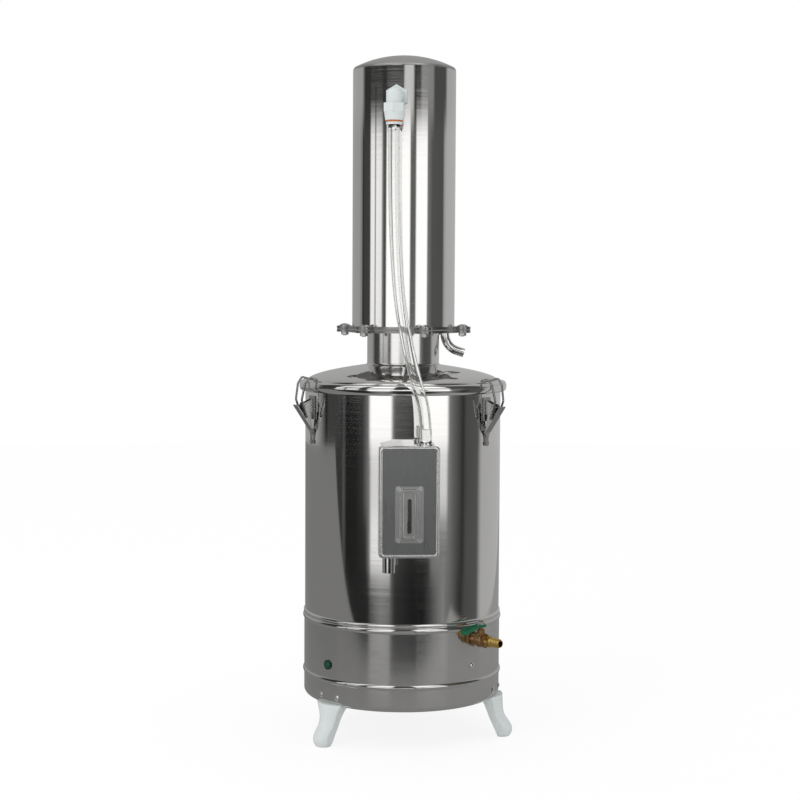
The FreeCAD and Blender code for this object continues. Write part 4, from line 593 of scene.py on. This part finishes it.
@dataclass(frozen=True)
class Studio:
    """White room with soft panels, the camera and the floor."""

    camera_bearing: float = -2.8
    camera_distance: float = 2086.0
    camera_height: float = 547.3
    focal_px: float = 1686.0
    frame_px: float = 800.0
    horizon_px: float = 290.0
    yaw_px: float = 2.9
    roll_deg: float = 0.3
    sensor_mm: float = 36.0
    sight_limit_mm: float = 50000.0
    floor_radius: float = 4000.0
    floor_sides: int = 96
    floor_drop: float = 0.2
    floor_roughness: float = 0.9
    floor_glow: float = 0.86
    table_front: float = 548.0
    table_front_blur: float = 20.0
    table_slant: float = 0.09
    table_right: float = 800.0
    table_right_blur: float = 50.0
    table_shade_span: tuple[float, float] = (-700.0, 500.0)
    table_shade: tuple[float, float] = (0.2, 0.3)
    ambient: float = 0.92
    overhead: float = 0.36
    overhead_from: float = 72.0
    key_spot: Point = (-1600.0, -1800.0, 2000.0)
    key_aim: Point = (0.0, 0.0, 400.0)
    key_size: float = 1600.0
    key_watts: float = 18.0
    tiers: tuple[Tier, ...] = (
        # The drum and all below it
        Tier(-90.0, -10.0, (
            (-180, 0.38), (-121, 0.38), (-106, 0.12), (-97, 0.05), (-70, 0.05), (-64, 0.02), (-40, 0.02),
            (-37, 0.07), (-32, 0.13), (-25, 0.2), (-19, 0.18), (-15, 0.15), (-12, 0.08), (-8, 0.03),
            (11, 0.014), (25, 0.014), (33, 0.056), (38, 0.11), (43, 0.165), (49, 0.23), (52, 0.18),
            (57, 0.14), (63, 0.09), (67, 0.05), (72, 0.028), (78, 0.07), (98, 0.09), (102, 0.3),
            (106, 0.42), (180, 0.48))),
        # The pot's foot
        Tier(-9.3, -8.3, (
            (-180, 0.38), (-121, 0.38), (-106, 0.12), (-100, 0.1), (-96, 0.05), (-76, 0.04), (-72, 0.08),
            (-69, 0.014), (-56, 0.016), (-43, 0.03), (-38.5, 0.2), (-36, 0.9), (-15, 0.9), (-12.5, 0.12),
            (-8, 0.06), (4, 0.03), (24, 0.014), (30, 0.03), (35, 0.2), (50, 0.2), (57, 0.16), (63, 0.1),
            (69, 0.06), (74.5, 0.03), (80, 0.08), (98, 0.09), (102, 0.28), (106, 0.42), (180, 0.48))),
        # The pot's middle
        Tier(-7.0, -5.5, (
            (-180, 0.38), (-121, 0.38), (-112, 0.23), (-106, 0.1), (-98, 0.09), (-95, 0.04), (-76, 0.036),
            (-72.5, 0.1), (-69.5, 0.016), (-56, 0.016), (-47, 0.04), (-39, 0.2), (-36, 0.73), (-15, 0.73),
            (-12.5, 0.2), (-8, 0.09), (15, 0.04), (18.5, 0.73), (52, 0.73), (55, 0.22), (61, 0.13),
            (69, 0.07), (74.5, 0.03), (80, 0.07), (98, 0.09), (102, 0.28), (106, 0.42), (180, 0.48))),
        # The pot's top
        Tier(-5.1, -2.6, (
            (-180, 0.36), (-121, 0.36), (-112, 0.23), (-105, 0.09), (-101, 0.01), (-97, 0.05), (-79, 0.05),
            (-75, 0.03), (-72.2, 0.08), (-69.5, 0.012), (-56, 0.016), (-47, 0.045), (-40, 0.18), (-37.5, 1.2),
            (-14, 1.2), (-11, 0.2), (-8, 0.09), (5, 0.07), (15, 0.04), (18.5, 1.2), (53, 1.2), (56, 0.22),
            (61, 0.135), (69, 0.07), (74.7, 0.028), (80, 0.075), (99, 0.09), (102, 0.27), (106, 0.43),
            (180, 0.5))),
        # The condenser
        Tier(-2.2, 5.0, (
            (-180, 0.36), (-118, 0.33), (-107, 0.2), (-105, 0.02), (-99, 0.05), (-81, 0.055), (-78.5, 0.95),
            (-69, 1.0), (-66.5, 0.03), (-64, 1.0), (-51, 0.9), (-48.5, 0.22), (-43, 0.05), (-40.5, 0.1),
            (-38, 1.2), (12.5, 1.2), (15.5, 0.11), (25.5, 0.13), (28.5, 1.2), (52, 1.2), (54.5, 0.2),
            (62, 0.13), (66, 0.09), (97, 0.08), (103, 0.36), (112, 0.45), (180, 0.47))),
        # The condenser's top
        Tier(6.3, 9.0, (
            (-180, 0.4), (-108, 0.36), (-98, 0.03), (-41, 0.03), (-34, 0.05), (-2, 0.06), (2, 0.6),
            (19, 0.6), (23, 0.03), (35, 0.03), (40, 0.25), (66, 0.25), (72, 0.07), (104, 0.07),
            (112, 0.4), (180, 0.44))),
        # Slopes and beads that look up see the panels, a dark stretch, and the panels again
        Tier(10.5, 18.0, PANELS),
        Tier(19.0, 26.0, (
            (-180, 0.4), (-118, 0.36), (-105, 0.03), (-60, 0.03), (0, 0.02), (60, 0.03), (98, 0.05),
            (106, 0.38), (180, 0.44))),
        Tier(27.5, 60.0, PANELS),
    )

    def camera(self) -> None:
        """Set the camera where the photograph was taken from."""
        bearing = math.radians(self.camera_bearing)
        spot = metres(math.sin(bearing) * self.camera_distance, -math.cos(bearing) * self.camera_distance,
                      self.camera_height)
        ahead = Vector((-spot.x, -spot.y, 0.0)).normalized()
        pitch = math.atan((self.frame_px / 2.0 - self.horizon_px) / self.focal_px)
        yaw = math.atan(self.yaw_px / self.focal_px)
        ahead = Matrix.Rotation(yaw, 3, "Z") @ ahead
        side = ahead.cross(Vector((0, 0, 1))).normalized()
        ahead = (Matrix.Rotation(-pitch, 3, side) @ ahead).normalized()
        up = side.cross(ahead).normalized()
        roll = math.radians(self.roll_deg)
        tilted_up = up * math.cos(roll) - side * math.sin(roll)
        tilted_side = side * math.cos(roll) + up * math.sin(roll)
        data = bpy.data.cameras.new("studio_camera")
        data.sensor_width = self.sensor_mm
        data.lens = self.sensor_mm * self.focal_px / self.frame_px
        data.clip_end = self.sight_limit_mm / 1000.0
        eye = bpy.data.objects.new("studio_camera", data)
        turn = Matrix((tilted_side, tilted_up, -ahead)).transposed().to_4x4()
        eye.matrix_world = Matrix.Translation(spot) @ turn
        bpy.context.scene.collection.objects.link(eye)
        bpy.context.scene.camera = eye

    def mirrored_room(self, tree: bpy.types.NodeTree, way: bpy.types.NodeSocket) -> bpy.types.NodeSocket:
        """Build the room that polished metal mirrors, tier above tier.

        Args:
            tree: the world's node tree.
            way: the direction that a ray leaves in.

        Returns:
            The room's colour in that direction.
        """
        parts = add(tree, "ShaderNodeSeparateXYZ", {"Vector": way})
        front = add(tree, "ShaderNodeMath", {0: parts.outputs["Y"], 1: -1.0}, operation="MULTIPLY")
        bearing = add(tree, "ShaderNodeMath", {0: parts.outputs["X"], 1: front.outputs["Value"]},
                      operation="ARCTAN2")
        own = add(tree, "ShaderNodeMath", {
            0: bearing.outputs["Value"], 1: math.radians(self.camera_bearing)}, operation="SUBTRACT")
        wrapped = add(tree, "ShaderNodeMath", {0: own.outputs["Value"], 1: math.pi, 2: -math.pi},
                      operation="WRAP")
        share = add(tree, "ShaderNodeMapRange", {
            "From Min": -math.pi, "From Max": math.pi, "Value": wrapped.outputs["Value"]})
        levels = [(tier.low, tier.high, tier.colour(tree, share.outputs["Result"])) for tier in self.tiers]
        levels.append((self.overhead_from, 90.0, grey(self.overhead)))
        shown = levels[0][2]
        for (_, below, _), (above, _, colour) in zip(levels, levels[1:]):
            step = add(tree, "ShaderNodeMapRange", {
                "From Min": math.sin(math.radians(below)), "From Max": math.sin(math.radians(above)),
                "Value": parts.outputs["Z"]}, interpolation_type="SMOOTHSTEP")
            shown = add(tree, "ShaderNodeMix", {"Factor": step.outputs["Result"], "A": shown, "B": colour},
                        data_type="RGBA").outputs["Result"]
        return shown

    def world(self) -> None:
        """Light the room: plain for dull surfaces, white behind, panels for polished ones."""
        world = bpy.data.worlds.new("studio_room")
        bpy.context.scene.world = world
        world.use_nodes = True
        tree = world.node_tree
        tree.nodes.clear()
        shown = self.mirrored_room(tree, add(tree, "ShaderNodeTexCoord").outputs["Generated"])
        paths = add(tree, "ShaderNodeLightPath")
        dull = add(tree, "ShaderNodeMix", {
            "A": grey(self.ambient), "B": shown, "Factor": paths.outputs[Ray.GLOSSY.value]},
            data_type="RGBA")
        clear = add(tree, "ShaderNodeMath", {
            0: paths.outputs[Ray.CAMERA.value], 1: paths.outputs[Ray.TRANSMISSION.value]},
            operation="MAXIMUM")
        final = add(tree, "ShaderNodeMix", {
            "A": dull.outputs["Result"], "B": grey(1.0), "Factor": clear.outputs["Value"]},
            data_type="RGBA")
        glow = add(tree, "ShaderNodeBackground", {"Color": final.outputs["Result"]})
        add(tree, "ShaderNodeOutputWorld", {"Surface": glow.outputs["Background"]})

    def table(self, tree: bpy.types.NodeTree) -> bpy.types.NodeSocket:
        """Build the grey table that stands in metal under the still and ends ahead and to the right.

        Args:
            tree: the floor's node tree.

        Returns:
            The shader that a mirror sees.
        """
        place = add(tree, "ShaderNodeTexCoord").outputs["Object"]
        parts = add(tree, "ShaderNodeSeparateXYZ", {"Vector": place})
        slant = add(tree, "ShaderNodeMath", {
            0: parts.outputs["X"], 1: self.table_slant, 2: parts.outputs["Y"]}, operation="MULTIPLY_ADD")
        front = add(tree, "ShaderNodeMapRange", {
            "From Min": (-self.table_front - self.table_front_blur) / 1000.0,
            "From Max": (-self.table_front + self.table_front_blur) / 1000.0,
            "Value": slant.outputs["Value"]}, interpolation_type="SMOOTHSTEP")
        right = add(tree, "ShaderNodeMapRange", {
            "From Min": (self.table_right + self.table_right_blur) / 1000.0,
            "From Max": (self.table_right - self.table_right_blur) / 1000.0,
            "Value": parts.outputs["X"]}, interpolation_type="SMOOTHSTEP")
        there = add(tree, "ShaderNodeMath", {0: front.outputs["Result"], 1: right.outputs["Result"]},
                    operation="MULTIPLY")
        shade = add(tree, "ShaderNodeMapRange", {
            "From Min": self.table_shade_span[0] / 1000.0, "From Max": self.table_shade_span[1] / 1000.0,
            "To Min": self.table_shade[0], "To Max": self.table_shade[1], "Value": parts.outputs["X"]})
        board = add(tree, "ShaderNodeEmission", {"Strength": shade.outputs["Result"]})
        gone = add(tree, "ShaderNodeBsdfTransparent")
        return add(tree, "ShaderNodeMixShader", {
            0: there.outputs["Value"], 1: gone.outputs["BSDF"],
            2: board.outputs["Emission"]}).outputs["Shader"]

    def floor(self) -> None:
        """Lay a white floor that keeps a light shadow and shows in metal as a grey table."""
        mesh = bpy.data.meshes.new("studio_floor")
        shape = bmesh.new()
        bmesh.ops.create_circle(shape, cap_ends=True, segments=self.floor_sides,
                                radius=self.floor_radius / 1000.0)
        shape.to_mesh(mesh)
        shape.free()
        floor = bpy.data.objects.new("studio_floor", mesh)
        floor.location.z = -self.floor_drop / 1000.0
        bpy.context.scene.collection.objects.link(floor)
        made, tree, shader = fresh_material("white_floor")
        feed(tree, shader, {"Base Color": linear("#FFFFFF"), "Roughness": self.floor_roughness,
                            "Specular IOR Level": 0.0})
        white = add(tree, "ShaderNodeEmission")
        paths = add(tree, "ShaderNodeLightPath")
        seen = add(tree, "ShaderNodeMath", {0: paths.outputs[Ray.CAMERA.value], 1: self.floor_glow},
                   operation="MULTIPLY")
        lit = add(tree, "ShaderNodeMixShader", {
            0: seen.outputs["Value"], 1: shader.outputs["BSDF"], 2: white.outputs["Emission"]})
        chosen = add(tree, "ShaderNodeMixShader", {
            0: paths.outputs[Ray.GLOSSY.value], 1: lit.outputs["Shader"], 2: self.table(tree)})
        output = next(node for node in tree.nodes if node.type == "OUTPUT_MATERIAL")
        feed(tree, output, {"Surface": chosen.outputs["Shader"]})
        dress(made, floor)

    def lamp(self) -> None:
        """Hang a soft panel that models dull surfaces and stays out of reflections."""
        data = bpy.data.lights.new("key_panel", "AREA")
        data.size = self.key_size / 1000.0
        data.energy = self.key_watts
        panel = bpy.data.objects.new("key_panel", data)
        panel.location = metres(*self.key_spot)
        ahead = metres(*self.key_aim) - panel.location
        panel.rotation_euler = ahead.to_track_quat("-Z", "Y").to_euler()
        panel.visible_glossy = False
        bpy.context.scene.collection.objects.link(panel)

    def build(self) -> None:
        """Set up the whole studio."""
        self.camera()
        self.world()
        self.floor()
        self.lamp()
        bpy.context.scene.view_settings.view_transform = "Standard"
        LOG.info("studio built")


Skins = Mapping[Skin, bpy.types.Material]
Worn = tuple[tuple[Skin, tuple[str, ...]], ...]


@dataclass(frozen=True)
class SubAssembly:
    """A sub-assembly of the still, with the finishes that its nodes in the frame wear."""

    worn: Worn = ()

    def build(self, skins: Skins) -> None:
        """Dress the frame's nodes and report each.

        Args:
            skins: the materials.
        """
        for skin, names in self.worn:
            for name in names:
                dress(skins[skin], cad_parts[name])
                LOG.info("%s wears %s", name, skins[skin].name)


@dataclass(frozen=True)
class Condenser(SubAssembly):
    """Polished shell under its cap, with the flange, the elbow and what is inside."""

    worn: Worn = (
        (Skin.MIRROR, ("condenser_shell", "distillate_outlet")),
        (Skin.CAP, ("condenser_cap",)),
        # The flange's darker grey is painted shade.
        (Skin.FLANGE, ("condenser_flange",)),
        (Skin.INSIDE, ("steam_riser", "steam_header", "condenser_tubes", "collector_ring")),
        (Skin.WHITE, ("elbow_fitting", "elbow_nut")),
        (Skin.AMBER, ("elbow_clip_ring",)),
        (Skin.TAIL, ("water_inlet",)),
    )


@dataclass(frozen=True)
class Lid(SubAssembly):
    """Spun lid, one smooth dome from its rolled rim up to the neck, with its bolted flange."""

    worn: Worn = (
        (Skin.NECK, ("lid_neck",)),
        # The flange's darker grey is painted shade.
        (Skin.FLANGE, ("neck_flange",)),
        (Skin.ZINC, ("flange_bolts", "flange_nuts")),
        (Skin.GRAPHITE, ("flange_gasket",)),
        (Skin.SILICONE, ("rim_gasket",)),
    )
    bead_centre: tuple[float, float] = (122.0, 430.0)
    bead_radius: float = 6.2
    bead_start: float = -80.0
    bead_end: float = 125.0
    # A power under one flattens the bead's outer side, which is then set in by a little
    bead_flat: float = 0.5
    bead_set_in: float = 0.2
    land_radius: float = 48.4
    hole_radius: float = 44.8
    crown: float = 455.3
    sheet: float = 0.7
    # Powers of the dome's curve: at 1 and 0.5 the radius falls with the square of the height
    swell: tuple[float, float] = (1.0, 0.5)
    steps: int = 40
    sides: int = 240

    def face(self, depth: float) -> list[tuple[float, float]]:
        """Draw one face of the sheet, from the rim's foot to the hole.

        Args:
            depth: how far the face lies under the outer one.

        Returns:
            Radius and height of each point.
        """
        line = []
        reach = self.bead_radius - depth
        for index in range(self.steps + 1):
            angle = math.radians(self.bead_start + (self.bead_end - self.bead_start) * index / self.steps)
            out = math.cos(angle)
            out = out ** self.bead_flat if out > 0.0 else out
            line.append((self.bead_centre[0] + (reach - self.bead_set_in) * out,
                         self.bead_centre[1] + reach * math.sin(angle)))
        rim, foot = line[-1]
        rise = self.crown - depth - foot
        for index in range(1, self.steps + 1):
            share = math.cos(math.radians(90.0 * index / self.steps))
            radius = self.land_radius + (rim - self.land_radius) * share
            line.append((radius, foot + rise * (1.0 - share ** self.swell[0]) ** self.swell[1]))
        line.append((self.hole_radius, self.crown - depth))
        return line

    def build(self, skins: Skins) -> None:
        """Dress the lid's nodes and turn the dome in place of the plain solid.

        Args:
            skins: the materials.
        """
        super().build(skins)
        loop = self.face(0.0) + self.face(self.sheet)[::-1]
        shape = bmesh.new()
        rings = []
        for side in range(self.sides):
            angle = math.tau * side / self.sides
            rings.append([shape.verts.new(metres(radius * math.cos(angle), radius * math.sin(angle), height))
                          for radius, height in loop])
        close_rings(shape, rings)
        finish_piece(shape, "spun_lid", skins[Skin.MIRROR], "lid_dome")


@dataclass(frozen=True)
class Pot(SubAssembly):
    """Polished barrel with its floor, the heaters and the pipes inside."""

    worn: Worn = (
        (Skin.MIRROR, ("pot_barrel",)),
        (Skin.DRUM, ("pot_floor",)),
        (Skin.INSIDE, ("heating_elements", "level_pipe", "drain_pipe")),
        (Skin.ZINC, ("heater_nuts",)),
    )


@dataclass(frozen=True)
class Latches(SubAssembly):
    """The three bail toggle latches."""

    worn: Worn = (
        (Skin.LATCH, tuple(f"latch_{kind}_{index}" for kind in ("bracket", "lever", "bail")
                           for index in (1, 2, 3))),
    )


@dataclass(frozen=True)
class Trim:
    """A raised bead round a rectangle on the level box, pressed in sheet and polished."""

    name: str
    skin: Skin
    half_width: float
    foot: float
    top: float
    corner: float
    face: float
    width: float
    height: float
    least_corner: float = 0.2
    corner_steps: int = 10
    # Shares of the bead's width and height, from its outer foot over its crown to its inner foot
    section_shares: Marks = ((0.0, -0.1), (0.04, 0.5), (0.14, 0.86), (0.28, 1.0), (0.72, 1.0), (0.86, 0.86),
                             (0.96, 0.5), (1.0, -0.1))

    def outline(self, inset: float, level: float) -> list[Vector]:
        """Draw one line of the bead.

        Args:
            inset: distance in from the outer edge.
            level: height over the face that carries it.

        Returns:
            The points of the line.
        """
        radius = max(self.corner - inset, self.least_corner)
        across, low, high = self.half_width - inset, self.foot + inset, self.top - inset
        points = []
        for quarter, (x, z) in enumerate(((across - radius, high - radius), (-across + radius, high - radius),
                                          (-across + radius, low + radius), (across - radius, low + radius))):
            for index in range(self.corner_steps + 1):
                angle = math.radians(90.0 * (quarter + index / self.corner_steps))
                points.append(metres(x + radius * math.cos(angle), -(self.face + level),
                                     z + radius * math.sin(angle)))
        return points

    def build(self, skins: Skins) -> None:
        """Press the bead.

        Args:
            skins: the materials.
        """
        lines = [self.outline(across * self.width, up * self.height) for across, up in self.section_shares]
        shape = bmesh.new()
        rings = [[shape.verts.new(line[index]) for line in lines] for index in range(len(lines[0]))]
        close_rings(shape, rings)
        finish_piece(shape, self.name, skins[self.skin])


@dataclass(frozen=True)
class LevelBox(SubAssembly):
    """Folded box with its sight window, its two pipes and the polished beads on its front."""

    worn: Worn = (
        (Skin.BOX, ("level_box",)),
        (Skin.MIRROR, ("overflow_pipe", "hose_nipple")),
        (Skin.FRAME, ("sight_frame",)),
        # The screws wear the pure white of the painted highlight.
        (Skin.EDGE, ("sight_screws",)),
        (Skin.RUBBER, ("sight_gasket",)),
        (Skin.GLASS, ("sight_glass",)),
    )
    trims: tuple[Trim, ...] = (
        # The edge bead wears the pure white of the painted highlight.
        Trim("box_edge_bead", Skin.EDGE, half_width=34.6, foot=240.0, top=368.4, corner=6.0, face=165.7,
             width=4.0, height=0.9),
        Trim("sight_step_bead", Skin.STEP, half_width=11.3, foot=259.8, top=320.7, corner=3.6, face=167.9,
             width=1.2, height=1.9),
        Trim("sight_recess_bead", Skin.STEP, half_width=7.5, foot=263.5, top=317.0, corner=3.6, face=168.9,
             width=1.4, height=1.0),
    )

    def build(self, skins: Skins) -> None:
        """Dress the box and press its beads.

        Args:
            skins: the materials.
        """
        super().build(skins)
        for trim in self.trims:
            trim.build(skins)


@dataclass(frozen=True)
class Hose(SubAssembly):
    """Clear hose that brings warm water from the elbow down to the level box."""

    radius: float = 7.0
    wall: float = 2.0
    route: tuple[Point, ...] = (
        (-16.0, -92.5, 648.4), (-14.0, -101.0, 589.0), (-9.8, -113.5, 531.3), (-1.0, -127.0, 481.4),
        (8.2, -139.5, 442.4))
    first_run: float = 42.0
    last_run: float = 33.0
    nipple: tuple[float, float] = (19.6, -147.7)
    sides: int = 20
    curve_order: int = 3
    curve_steps: int = 16

    def ends(self) -> tuple[Vector, Vector]:
        """Top and foot of the hose, read from the pieces that it joins."""
        low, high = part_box("elbow_clip_ring")
        foot_low, foot_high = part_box("water_hose")
        top = Vector(((low.x + high.x) / 2.0, (low.y + high.y) / 2.0, foot_high.z))
        foot = Vector((self.nipple[0] / 1000.0, self.nipple[1] / 1000.0, foot_low.z))
        return top, foot

    def build(self, skins: Skins) -> None:
        """Args:
            skins: the materials.
        """
        top, foot = self.ends()
        points = [top, top - metres(0, 0, self.first_run)]
        points += [metres(*point) for point in self.route]
        points += [foot + metres(0, 0, self.last_run), foot]
        data = bpy.data.curves.new("clear_hose", "CURVE")
        data.dimensions = "3D"
        spline = data.splines.new("NURBS")
        spline.points.add(len(points) - 1)
        for mark, point in zip(spline.points, points):
            mark.co = (*point, 1.0)
        spline.use_endpoint_u = True
        spline.order_u = self.curve_order
        spline.resolution_u = self.curve_steps
        data.bevel_depth = self.radius / 1000.0
        data.bevel_resolution = self.sides // 4
        hose = bpy.data.objects.new("clear_hose", data)
        bpy.context.scene.collection.objects.link(hose)
        wall = hose.modifiers.new("wall", "SOLIDIFY")
        wall.thickness = self.wall / 1000.0
        wall.offset = -1.0
        wall.use_rim = True
        dress(skins[Skin.HOSE], hose)
        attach(hose, STILL)
        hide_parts("water_hose")
        LOG.info("clear_hose built in %s", skins[Skin.HOSE].name)


@dataclass(frozen=True)
class DrainValve(SubAssembly):
    """Brass ball valve with its dipped lever and its barb."""

    worn: Worn = (
        (Skin.BRASS, ("valve_body", "valve_stem", "valve_ball")),
        (Skin.GRIP, ("valve_lever",)),
        (Skin.ZINC, ("lever_nut",)),
        (Skin.TAIL, ("hose_barb",)),
    )


@dataclass(frozen=True)
class Base(SubAssembly):
    """Drum under the pot with its feet, its lamp and its wiring."""

    worn: Worn = (
        (Skin.DRUM, ("base_drum", "base_bottom_plate")),
        (Skin.SCREW, ("foot_screws", "base_screw")),
        (Skin.WHITE, ("foot_left", "foot_right", "foot_rear")),
        (Skin.NYLON, ("cable_gland", "gland_nut")),
        (Skin.BEZEL, ("lamp_bezel",)),
        (Skin.LENS, ("lamp_lens",)),
        (Skin.TERMINAL, ("terminal_block",)),
    )


def main() -> None:
    """Build the studio, then each sub-assembly from the top down."""
    logging.basicConfig(level=logging.INFO, format="%(message)s")
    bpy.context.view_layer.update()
    Studio().build()
    skins = {skin: finish.material() for skin, finish in FINISHES.items()}
    for part in (Condenser(), Lid(), Pot(), Latches(), LevelBox(), Hose(), DrainValve(), Base()):
        part.build(skins)


if __name__ == "__main__":
    main()
